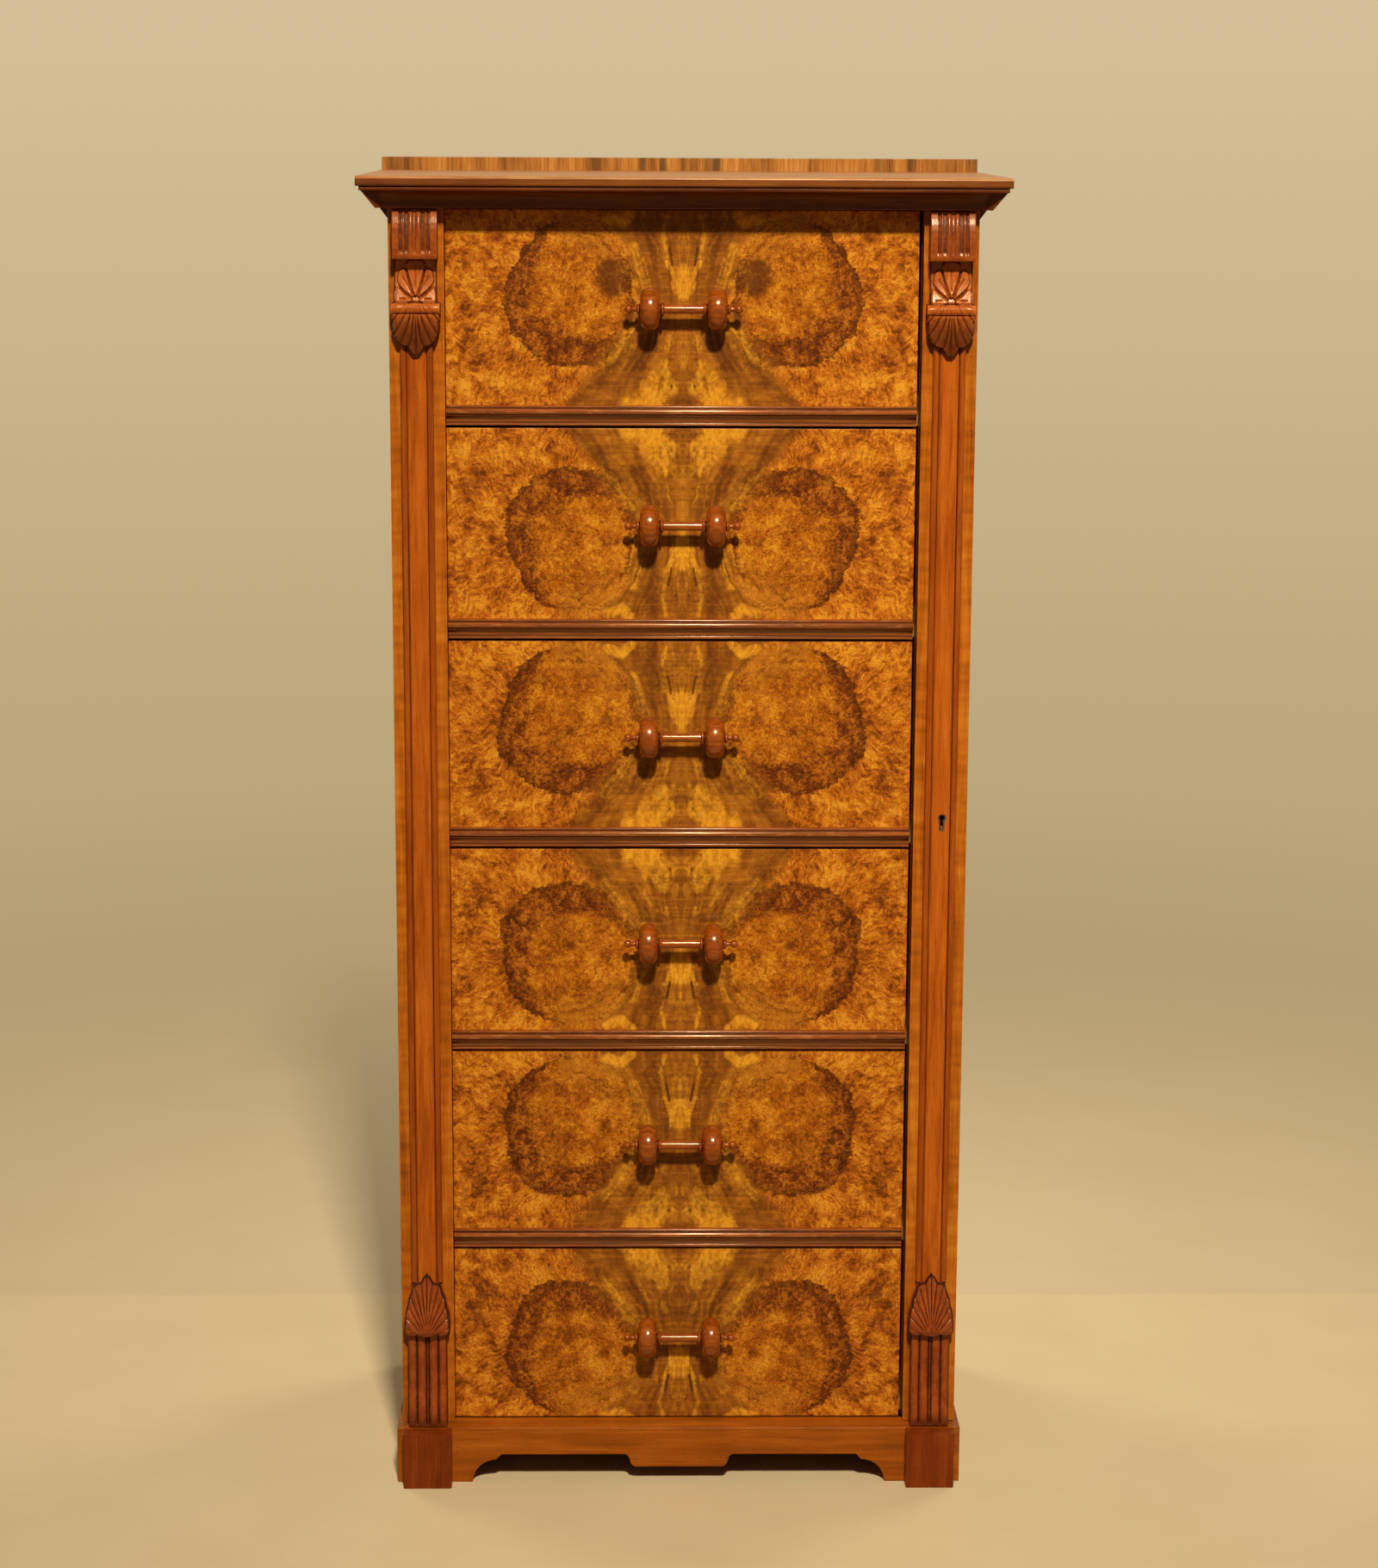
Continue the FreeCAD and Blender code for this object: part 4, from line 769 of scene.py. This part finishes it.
def make_handle(number, material):
    """A bar with two bobbins, turned about its own axis and flat where the bobbins meet the drawer."""
    node = "drawer_%d_handle" % number
    low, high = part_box(node)
    level = (low[2] + high[2]) / 2 / MM
    outline = [(-x, radius) for x, radius in HANDLE_HALF[:0:-1]] + HANDLE_HALF
    vertices, hollow = [], []
    for x, radius in outline:
        reach, radius = abs(x), max(radius, 0.01)
        # Painted shade for the necks beside the bobbins and before the end balls, kept as the hollow attribute
        near = max(peak(reach, 21.6, 1.1) * (radius < 7.5), peak(reach, 40.3, 0.9) * (radius < 7),
                   0.8 * peak(reach, 17.4, 0.7), 0.7 * peak(reach, 46.8, 0.8))
        for side in range(HANDLE_SIDES):
            angle = 2 * math.pi * side / HANDLE_SIDES
            y = DRAWER_FACE - HANDLE_STAND + radius * math.cos(angle)
            vertices.append((x, min(y, DRAWER_FACE), level + radius * math.sin(angle)))
            hollow.append(near)
    piece = new_piece(node + "_turned", vertices, quads(len(outline), HANDLE_SIDES, wrap=True, flip=True))
    point_attribute(piece, "hollow", hollow)
    sharpen(piece, 60)
    stand_for(piece, node, material)


# Mouldings of the drawer fronts

# Side view from the foot up, as (stand, rise): fillet, cove, bead, quirk and a small bead
MOULDING = [
    (0, 0), (3.7, 0), (4, 0.3), (4, 1.8), (3.7, 2.2), (3.2, 2.4),
    *((6.9 - 3.7 * x, 2.7 + 5.3 * y) for x, y in arc((0, 0), (1, 1), 0, 90, 10)),
    (7.5, 8.05), (7.6, 8.5), (6.9, 8.7),
    *arc((6.3, 11.2), (2.7, 2.45), -72, 84, 14),
    (6, 13.75), (5, 13.8),
    *arc((4.4, 14.9), (1.15, 1), -60, 90, 6),
    (0, 15.95),
]
MOULDING_RISE = 15.95
MOULDING_GROWTH = 1.16
MOULDING_EASE = 0.25


def make_moulding(number, material):
    """The moulding's run, with its ends eased; it is a little higher than the CAD's, as in the photo."""
    node = "drawer_%d_moulding" % number
    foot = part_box(node)[0][2] / MM
    xs = [FRONT_LEFT + 0.02, FRONT_LEFT + 0.3, FRONT_RIGHT - 0.3, FRONT_RIGHT - 0.02]
    vertices, dark = [], []
    for x in xs:
        inset = MOULDING_EASE if x in (xs[0], xs[-1]) else 0
        for stand, rise in MOULDING:
            level = foot + MOULDING_GROWTH * min(max(rise, inset), MOULDING_RISE - inset)
            vertices.append((x, DRAWER_FACE - max(0, stand - inset), level))
            # Painted shade in the quirks and, fainter, in the cove, kept as the hollow attribute
            quirk = max(peak(rise, 2.4, 0.5), peak(rise, 8.6, 0.45), peak(rise, 13.8, 0.4),
                        0.34 * peak(rise, 5.6, 2))
            dark.append(0.3 + 0.6 * quirk)
    count = len(MOULDING)
    ends = [tuple(range(count - 1, -1, -1)), tuple(range(len(vertices) - count, len(vertices)))]
    piece = new_piece(node + "_run", vertices, quads(len(xs), count, wrap=True) + ends)
    point_attribute(piece, "hollow", dark)
    sharpen(piece, 40)
    stand_for(piece, node, material)


# Carvings. A relief is the stand of each point in front of the stile, or SUNK outside the carving.

GRID = 0.32
SUNK = -1
NOT_SUNK = -0.9
DEGREE = 0.0175

# Angles between which each petal lies, and how far the shell reaches at some angles
PETALS = ((-97, -47), (-47, -17.5), (-17.5, 17.5), (17.5, 47), (47, 97))
PETAL_REACH = ((0, 10, 15.5, 17.5, 22, 30, 42, 46, 48, 53, 70, 97),
               (37.4, 37, 34, 27, 31.8, 30.6, 25, 20, 17, 21.2, 20, 18.4))
PETAL_CUTS = ((29, 11, 24), (74, 8.5, 14.5))

# Grooves to each side of the hanging leaf's middle, and half its width, by share of the way down
LEAF_GROOVES = (
    ((0, 0.3, 0.6, 0.78, 0.84, 0.9, 1), (1.4, 1.9, 3.4, 5.8, 7.4, 6.6, 5)),
    ((0, 0.25, 0.5, 0.7, 0.8), (3.6, 5.2, 8.8, 13, 15.5)),
    ((0, 0.2, 0.4, 0.55, 0.62), (6.2, 9.6, 14.6, 19.2, 21.5)),
    ((0, 0.12, 0.24, 0.36), (9.4, 13.8, 18.4, 22.6)),
)
LEAF_HALF = ((0, 0.08, 0.2, 0.33, 0.36, 0.4, 0.52, 0.62, 0.66, 0.7, 0.77, 0.8, 0.81, 0.86, 0.92, 1),
             (21.6, 22.2, 22.4, 21.8, 20.8, 21.8, 21.6, 20.4, 18.8, 18.6, 15.4, 12, 7.6, 7.4, 5, 0.4))
LEAF_REACH = 22.4
ROLL_HALF = 5.2

# Half the width of the corbel's leaf by height above its foot, and angles of its flutes
CORBEL_HALF = ((0, 2.5, 7, 12, 15.5, 17, 23, 28, 30, 36, 41.5, 43, 48, 51.6, 52.4, 54, 57, 60.8),
               (20.6, 21.8, 22.4, 22.2, 21.6, 21.8, 21, 19.4, 18.8, 18, 15.4, 14.8, 14.2, 11.2, 6, 5.2, 3.8, 0.3))
CORBEL_TURNS = (0, 5.5, 13, 23, 35, 51, 70, 95)
FOOT_STAND = 16
FOOT_WAIST = 5
FOOT_HALF = 19
REEDS = (-1, -0.55, -0.06, 0.06, 0.55, 1)

# The console's front from its plumb top to its lip, as (stand, distance below the top)
CONSOLE = ((0, 0), (12.6, 0), (13.2, 0.7), (14.6, 3), (16.6, 7), (18.5, 12), (19.9, 17.5), (20.8, 23.5),
           (21.2, 29.5), (21.2, 34.5), (20.9, 38), (20.5, 39.9))
CONSOLE_LIP = ((20.5, 40.1), (20.6, 40.5), (20.6, 44.5), (20.1, 45), (0, 45))
LIP_FACE = 39.3
CONSOLE_HALF = 20.5
CONSOLE_STEP = 1.2


def blurred(field, steps):
    """The field's mean over a square of neighbours."""
    def along_lines(values, axis):
        return np.apply_along_axis(lambda line: np.convolve(line, kernel, mode="valid"), axis, values)

    kernel = np.ones(2 * steps + 1) / (2 * steps + 1)
    return along_lines(along_lines(np.pad(field, steps, mode="edge"), 1), 0)


def relief_piece(name, side, xs, zs, stand, painted_edge_shade, depth, shade_and_grime_share=1):
    """A relief as a mesh that faces front, softened a little, with its hollows as an attribute.

    The hollow attribute is 0.5 where the surface is level with its surroundings, and 1 a depth below them; it
    carries painted shade and grime in the hollows and painted shade along the carving's edges.
    """
    inside = stand > NOT_SUNK
    deep_inside = blurred(inside.astype(float), 1) > 0.999
    stand = np.where(deep_inside, blurred(stand, 1), stand)
    filled = np.where(inside, stand, stand[inside].mean())
    # Painted shade and grime in the hollows, and painted shade along the edges beside the sunk ground
    hollow = unit(0.5 + (blurred(filled, 5) - filled) / depth)
    hollow = 0.5 + shade_and_grime_share * (hollow - 0.5)
    hollow = unit(hollow + painted_edge_shade * blurred((~inside).astype(float), 4) * inside)
    stand = np.where(inside, stand, SUNK)

    middle_x = side * PILASTER_X
    vertices = [(middle_x + x, STILE_FACE - stand[row, column], z)
                for row, z in enumerate(zs) for column, x in enumerate(xs)]
    kept = inside.ravel()
    faces = [face for face in quads(len(zs), len(xs)) if kept[list(face)].any()]
    used = sorted({index for face in faces for index in face})
    place = {index: number for number, index in enumerate(used)}
    piece = new_piece(name, [vertices[index] for index in used],
                      [tuple(place[index] for index in face) for face in faces])
    point_attribute(piece, "hollow", hollow.ravel()[used])
    sharpen(piece, 70)
    return piece


def palmette(x, z):
    """A shell of five broad petals above its foot at z = 0: the stand above its ground, or SUNK outside them."""
    far = np.hypot(x, z)
    angle = np.degrees(np.arctan2(x, z))
    angle = angle / (1 + 0.35 * (1 - unit(far / 26)))
    bent = np.abs(angle)
    to_end = np.interp(bent, *PETAL_REACH) - far
    height = np.full_like(x, SUNK)
    for low, high in PETALS:
        across = np.abs((angle - (low + high) / 2) / ((high - low) / 2))
        to_edge = (1 - across) * (far * math.radians(high - low) / 2)
        rise = smoothstep(-0.2, 1.7, to_edge) * smoothstep(-0.4, 1.8, to_end)
        body = -0.6 + 3.6 * rise - 0.5 * unit(far / 36)
        height = np.maximum(height, np.where((across < 1) & (to_end > -0.4), body, SUNK))
    cuts = peak(bent * far * DEGREE, 0, 0.42) * smoothstep(8, 12, far) * smoothstep(33, 28, far)
    for turn, start, end in PETAL_CUTS:
        lean = turn - 7 * smoothstep(end, start, far)
        cut = peak((bent - lean) * far * DEGREE, 0, 0.45) * smoothstep(start - 1.5, start + 1.5, far)
        cuts = np.maximum(cuts, cut * smoothstep(end + 0.6, end - 0.6, far))
    height = np.where(height > NOT_SUNK, height - 1.5 * cuts, height)
    return np.where(far < 3.9, -2.2, height)


def ribs(x, edges, depth):
    """Rounded ridges between grooves; each row of edges gives the grooves to the right of the middle."""
    relief = np.zeros_like(x)
    for row in range(x.shape[0]):
        phase = np.interp(np.abs(x[row]), edges[row], np.arange(edges.shape[1]))
        across = 2 * (phase - np.floor(phase)) - 1
        relief[row] = depth * (unit(1 - across * across) ** 0.75 - 1)
    return relief


def make_capital(name, side, material):
    """Palmette, scroll roll and hanging leaf, carved as one piece below the console."""
    xs = np.arange(-23.6, 23.61, GRID)
    zs = np.arange(CAPITAL_FOOT - 1, CAPITAL_FOOT + 90, GRID)
    x, z = np.meshgrid(xs, zs)
    reach = np.abs(x)

    # Ground of the palmette, swept forward at its foot
    up = unit((z - PALMETTE_FOOT) / 37.5)
    ground = 4.6 + 7.6 * (1 - up) ** 2
    block = (reach < 19.6) & (z > PALMETTE_FOOT - 7)
    stand = np.where(block, ground, SUNK)
    fan = palmette(x, z - (PALMETTE_FOOT + 0.4))
    stand = np.where(block & (fan > NOT_SUNK), ground + fan, stand)
    stand = np.where(block & (fan < -2), ground - 2, stand)

    # Hanging leaf: a stem down the middle, three lobes to each side of it, and a pointed tip
    drop = unit((LEAF_HEAD - z) / 47)
    grooves = [np.zeros(len(zs))]
    for groove in LEAF_GROOVES:
        grooves.append(np.maximum(grooves[-1] + 0.8, np.interp(drop[:, 0], *groove)))
    grooves += [np.maximum(23, grooves[-1] + 1), np.full(len(zs), 27)]
    grooves = np.stack(grooves, axis=1)
    share = reach / np.maximum(np.interp(drop, *LEAF_HALF), 0.3)
    bulge = 18.4 - 7.4 * unit((drop - 0.12) / 0.88) ** 1.4
    crown = bulge - 4.2 * unit(reach / LEAF_REACH) ** 2.6
    crown = crown - 1.6 * smoothstep(0.86, 1, share) * (drop > 0.1)
    leaf = crown + 1.3 + ribs(x, grooves, 2.5)
    in_leaf = (share < 1) & (z < ROLL_LEVEL) & (z > CAPITAL_FOOT + 0.4)

    # Roll at its head, which the grooves run over
    roll = unit(1 - ((z - ROLL_LEVEL) / ROLL_HALF) ** 2)
    roll_stand = 13.8 + 5.2 * np.sqrt(roll) + 0.5 * ribs(x, grooves, 1.9)
    in_roll = (np.abs(z - ROLL_LEVEL) < ROLL_HALF - 0.1) & (reach < 22.2)
    stand = np.where(in_leaf & ~in_roll, leaf, stand)
    stand = np.where(in_roll, np.maximum(stand, roll_stand), stand)

    upper = z > PALMETTE_FOOT - 1.5
    # Painted shade along the edges and in the hollows, less on the palmette than on the leaf
    piece = relief_piece(name + "_carving", side, xs, zs, stand, np.where(upper, 0.2, 0.7), 2.6,
                         np.where(upper, 0.6, 1))
    stand_for(piece, name, material)


def swept_relief(name, side, half_width, columns, path, offset, shade, material, body):
    """A side view swept across, its front pushed back by offset(x, distance along, height).

    It is closed but for its back. The hollow attribute is shade's first, and its second more for each mm back.
    """
    middle_x = side * PILASTER_X
    xs = np.linspace(-half_width, half_width, columns)
    path = np.array([(STILE_FACE - stand, z) for stand, z in path])
    steps = np.diff(path, axis=0)
    lengths = np.concatenate([[0], np.cumsum(np.hypot(steps[:, 0], steps[:, 1]))])
    tangent = np.gradient(path, axis=0)
    tangent /= np.hypot(tangent[:, 0], tangent[:, 1])[:, None]
    normal = np.stack([tangent[:, 1], -tangent[:, 0]], axis=1)
    if normal[len(normal) // 2, 0] > 0:
        normal = -normal
    vertices, dark = [], []
    for place, out, length in zip(path, normal, lengths):
        for x in xs:
            back = offset(x, length, place[1])
            vertices.append((middle_x + x, *(place - out * back)))
            dark.append(min(1, shade[0] + shade[1] * back))
    faces = quads(len(path), columns, flip=True)
    for column in (0, columns - 1):
        start = len(vertices)
        for row, place in enumerate(path):
            vertices += [vertices[row * columns + column], (middle_x + xs[column], STILE_FACE + 0.2, place[1])]
            dark += [0.5, 0.8]
        faces += quads(len(path), 2, flip=column > 0, start=start)
    piece = new_piece(name, vertices, faces)
    point_attribute(piece, "hollow", dark)
    sharpen(piece, 55)
    dress(piece, material, body)


def console_groove(x):
    """How far the console's face lies behind its flat borders, across its width."""
    reach = abs(x)
    if reach > 14.4:
        return 0.25 * max(0, (reach - 19.6) / 0.9) ** 2
    if reach > 11:
        return 2.4 - 0.9 * peak(reach, 12.6, 0.5)
    if reach > 9:
        return 0.5 + 0.6 * (reach - 10) ** 2
    if reach > 6.2:
        return 2.6
    if reach > 1:
        return 0.2 + 1.1 * ((reach - 3.6) / 2.6) ** 2
    return 1.6


def make_console(name, side, body, material):
    """The reeded console over a palmette: plumb at the top, swelling forward to a flat lip."""
    path, lip = [[(stand, CAPITAL_TOP - drop) for stand, drop in side_view] for side_view in (CONSOLE, CONSOLE_LIP)]
    fine = []
    for (stand, z), (next_stand, next_z) in zip(path[:-1], path[1:]):
        parts = max(1, int(math.hypot(next_stand - stand, next_z - z) / CONSOLE_STEP))
        fine += [(stand + (next_stand - stand) * part / parts, z + (next_z - z) * part / parts)
                 for part in range(parts)]

    def offset(x, distance, height):
        lead = min(1, max(0, (distance - 11.5) / 2.5))
        return console_groove(x) * lead if height > CAPITAL_TOP - LIP_FACE else 0

    swept_relief(name, side, CONSOLE_HALF, 180, [*fine, path[-1], *lip], offset, (0.34, 0.15), material, body)


def corbel_groove(x):
    """Four broad reeds with narrow hollows between them and a fine one down the middle."""
    share = x / FOOT_HALF
    for low, high in zip(REEDS[:-1], REEDS[1:]):
        if low <= share <= high:
            across = abs((share - (low + high) / 2) / ((high - low) / 2))
            return 1.3 + 1.4 * across ** 2 if high - low < 0.2 else 2.6 * across ** 2.2
    return 2.6


def make_corbel(name, side, body, material):
    """A leaf that overhangs a reeded foot."""
    xs = np.arange(-24, 24.01, GRID)
    zs = np.arange(CORBEL_LEAF_FOOT - 2, CORBEL_TOP + 2.5, GRID)
    x, z = np.meshgrid(xs, zs)
    reach = np.abs(x)
    up = unit((z - CORBEL_LEAF_FOOT) / 60.8)
    share = reach / np.maximum(np.interp(z, np.add(CORBEL_LEAF_FOOT, CORBEL_HALF[0]), CORBEL_HALF[1]), 0.3)
    swell = 10.5 + 9.6 * np.sin(unit(1 - up) * math.pi / 2) ** 1.3
    curl = 2.4 * (1 - smoothstep(0, 0.1, up))
    crown = swell - curl - 4.2 * unit(reach / LEAF_REACH) ** 2.6 - 1.3 * smoothstep(0.86, 1, share)
    turn = np.degrees(np.arctan2(reach / 68, np.clip((z - (CORBEL_LEAF_FOOT - 8)) / 68, 0.02, 1.1) ** 1.5))
    phase = np.interp(turn, CORBEL_TURNS, np.arange(8))
    across = 2 * (phase - np.floor(phase)) - 1
    flute = 2 * (np.sqrt(unit(1 - across * across)) - 1) * smoothstep(-0.04, 0.16, up)
    scallop = 1.6 * (1 - np.cos(x / 22.6 * math.pi * 2.5)) * 0.5
    inside = (share < 1) & (z >= CORBEL_LEAF_FOOT + scallop) & (z < CORBEL_TOP + 0.9)
    stand = np.where(inside, crown + 0.9 + flute, SUNK)
    # Painted shade along the leaf's edges and in its hollows
    stand_for(relief_piece(name + "_leaf", side, xs, zs, stand, 0.7, 1.9), name, material)

    path = [(0, CORBEL_FOOT), (FOOT_STAND - 0.4, CORBEL_FOOT), (FOOT_STAND, CORBEL_FOOT + 0.6)]
    for height in np.arange(CORBEL_FOOT + 3, CORBEL_LEAF_FOOT + 1.1, 1.5):
        path.append((FOOT_STAND - FOOT_WAIST * smoothstep(CORBEL_FOOT + 7, CORBEL_FOOT + 49, height), height))
    path.append((10.8, CORBEL_LEAF_FOOT + 3))

    def offset(x, distance, height):
        return corbel_groove(x) * min(1, max(0, (height - (CORBEL_FOOT + 0.4)) / 1.5))

    swept_relief(name + "_reeds", side, FOOT_HALF, 150, path, offset, (0.36, 0.2), material, body)


# Finishes that several pieces share

side_wood = wood("side", "side_walnut_board", "z", (0, 70, 20), 22)
front_core = wood("plinth", "drawer_front_core", "x", (5, 80, 0), 12, coat=0, roughness=0.55)
OAK = {"coat": 0, "roughness": 0.62, "bare": True}
PINE = {"coat": 0, "roughness": 0.66, "bare": True}
oak_wood = wood("oak", "oak_lining", "y", (3, 0, 14), 7, **OAK)
oak_back = wood("oak", "oak_back_board", "x", (90, 0, 33), 7, **OAK)
pine_across = wood("pine", "pine_across", "x", (8, 77, 0), 16, **PINE)
burr = burr_wood("burr_veneer")
lathe = turned_wood("turned_walnut")
moulded = moulded_wood("moulded_walnut")
# The capital's walnut is paler than the console's as painted light on the palmette, which faces up
capital_wood = carved_wood("carved_capital", (208, 112, 36), (172, 80, 22), (124, 52, 14), (48, 17, 5),
                           CAPITAL_FOOT + 21, CAPITAL_FOOT + 43)
console_wood = carved_wood("carved_console", (176, 84, 24), (140, 60, 15), (102, 39, 10), (40, 13, 5),
                           CAPITAL_FOOT + 21, CAPITAL_FOOT + 43)
# The corbel's reeded foot is painted darker near the block, as in shade
corbel_wood = carved_wood("carved_corbel", (176, 84, 28), (144, 60, 18), (110, 42, 12), (40, 13, 5),
                          CORBEL_FOOT - 1, CORBEL_FOOT + 17)

# Carcass, flap and lock
for node_name, width, finish in (
        ("left_side", 0.7, side_wood),
        ("right_side", 0.7, side_wood),
        ("left_stile", 0.6, wood("walnut", "stile_walnut", "z", (0, 0, 0), 9, ripple=0.38)),
        ("back_upstand", 0.5, crossbanded_wood("upstand_crossband")),
        ("plinth_front", 0.6, wood("plinth", "plinth_walnut", "x", (25, 0, 61), 10))):
    ease(node_name, width, finish)
for node_name, finish in (
        ("left_strip", wood("strip", "strip_walnut_left", "z", (0, 90, 12), 6, 1.25, quirks=True)),
        # The cornice takes the darker walnut as painted shade
        ("cornice_front", wood("dark", "cornice_walnut", "x", (0, 12, 40), 5)),
        ("cornice_returns", wood("dark", "return_walnut", "y", (12, 44, 4), 5)),
        ("top_board", top_board_wood("top_walnut")),
        ("plinth_sides", wood("side", "plinth_side_walnut", "xy", (25, 3, 61), 10)),
        ("plinth_blocks", wood("block", "block_walnut", "z", (11, 20, 5), 12)),
        ("back_boards", wood("pine", "pine_upright", "z", (8, 21, 0), 18, **PINE)),
        ("carcass_top", pine_across),
        ("dust_boards", pine_across),
        ("drawer_guides", wood("pine", "pine_guides", "y", (8, 7, 31), 12, **PINE)),
        ("lock_stile", wood("side", "lock_stile_walnut", "z", (14, 5, 77), 12)),
        ("flap_pivots", metal("pin_steel", (150, 146, 140), (104, 98, 92), 0.32)),
        ("flap_stile", wood("walnut", "flap_walnut", "z", (310, 40, 95), 9, ripple=0.38)),
        ("flap_strip", wood("strip", "strip_walnut_right", "z", (55, 10, 300), 6, 1.25, quirks=True)),
        ("flap_lock", metal("dull_iron", (96, 88, 78), (52, 44, 38), 0.45)),
        ("lock_bolt", metal("dull_brass", (176, 142, 76), (116, 86, 42), 0.34))):
    paint(node_name, finish)

# Carvings
for hand, side, body in (("left", -1, "carcass"), ("flap", 1, "flap")):
    make_capital(hand + "_capital", side, capital_wood)
    make_console(hand + "_console", side, body, console_wood)
    make_corbel(hand + "_corbel", side, body, corbel_wood)

# Drawers
for number in DRAWERS:
    make_veneer(number, burr)
    make_handle(number, lathe)
    for part, finish in (("front", front_core), ("sides", oak_wood), ("back", oak_back), ("bottom", oak_back)):
        paint("drawer_%d_%s" % (number, part), finish)
    if number < BOTTOM_DRAWER:
        make_moulding(number, moulded)


# Stage, light and camera

WALL_FOOT = srgb(170, 146, 104)
WALL_LOW = srgb(189, 167, 125)
WALL_HIGH = srgb(213, 192, 153)
FLOOR_REACH = 4000
WALL_LINE = 371


def floor_material(name):
    """A pale floor that takes light and shadow near the chest and fades to a plain backdrop farther off."""
    g = new_graph(name)
    here = g.place()
    x, y, _ = g.split(here)
    tint = g.mix(g.step(y, WALL_LINE, WALL_LINE + 9), srgb(222, 196, 146), srgb(214, 190, 146))
    tint = g.stain(tint, (g.step(g.noise(here, 180, 4, 0.6), 0.35, 0.7) * 0.16, 196, 168, 118),
                   (g.value("LightPath", "Is Diffuse Ray") * 0.5, 60, 44, 24))
    lit = g.value("BsdfPrincipled", 0, {"Base Color": tint, "Roughness": 0.75, "Specular IOR Level": 0.1})
    far = g.math("SQRT", x * x + y * y)
    wall = g.mix(g.step(far, 380, FLOOR_REACH), WALL_FOOT, WALL_LOW)
    plain = g.value("Emission", 0, {"Color": wall, "Strength": 1})
    fade = g.seen() * g.step(far, 500, 2400)
    return g.finish(g.value("MixShader", 0, {0: fade, 1: lit, 2: plain}))


floor = new_piece("floor", [(x * FLOOR_REACH, y * FLOOR_REACH, 0) for x, y in ((-1, -1), (1, -1), (1, 1), (-1, 1))],
                  [(0, 1, 2, 3)], smooth=False)
floor.data.materials.append(floor_material("pale_floor"))


def studio_world(name):
    """A faint fill for the object, and for what the camera sees a pale wall that is lighter above."""
    g = Graph(bpy.data.worlds.new(name))
    height = g.split(g.value("TexCoord", "Generated"))[2]
    climb = g.value("MapRange", 0, {"Value": height, "From Min": -0.18, "From Max": 0.04})
    fill = g.value("Background", 0, {"Color": (1, 0.97, 0.92, 1), "Strength": 0.08})
    pale = g.value("Background", 0, {"Color": g.mix(climb, WALL_LOW, WALL_HIGH), "Strength": 1})
    return g.finish(g.value("MixShader", 0, {0: g.seen(), 1: fill, 2: pale}), "World")


bpy.context.scene.world = studio_world("studio")


def add_lamp(name, place, target, size, power, spread=180):
    """A square soft box aimed at a point."""
    data = bpy.data.lights.new(name, "AREA")
    data.shape = "SQUARE"
    data.size = size
    data.energy = power
    data.color = (1, 0.96, 0.9)
    data.spread = math.radians(spread)
    lamp = add_object(name, data)
    lamp.location = place
    lamp.rotation_euler = (Vector(target) - Vector(place)).to_track_quat("-Z", "Y").to_euler()


add_lamp("key", (0.3, -3.9, 4.3), (0.25, -0.1, 0.75), 0.35, 44, spread=70)
add_lamp("behind_left", (-2.6, 2.4, 2.2), (0, 0.1, 0.6), 1.6, 44)
add_lamp("behind_right", (2.6, 2.4, 2.2), (0, 0.1, 0.6), 1.6, 44)

CAMERA_PLACE = (-0.0449, -3.2101, 1.3201)
CAMERA_PITCH = math.radians(11.454)
CAMERA_YAW = math.radians(0.968)
CAMERA_ROLL = math.radians(0.28)
forward = Vector((math.sin(CAMERA_YAW) * math.cos(CAMERA_PITCH), math.cos(CAMERA_YAW) * math.cos(CAMERA_PITCH),
                  -math.sin(CAMERA_PITCH)))
right = Vector((math.cos(CAMERA_YAW), -math.sin(CAMERA_YAW), 0))
up = right.cross(forward)
rolled_right = right * math.cos(CAMERA_ROLL) + up * math.sin(CAMERA_ROLL)
rolled_up = up * math.cos(CAMERA_ROLL) - right * math.sin(CAMERA_ROLL)
camera_data = bpy.data.cameras.new("photo_camera")
camera_data.sensor_fit = "VERTICAL"
camera_data.sensor_height = 36
camera_data.lens = 76.15
camera_data.clip_start = 0.05
camera = add_object("photo_camera", camera_data)
axes = Matrix((rolled_right, rolled_up, -forward)).transposed().to_4x4()
camera.matrix_world = Matrix.Translation(CAMERA_PLACE) @ axes
bpy.context.scene.camera = camera

bpy.context.scene.view_settings.view_transform = "Standard"
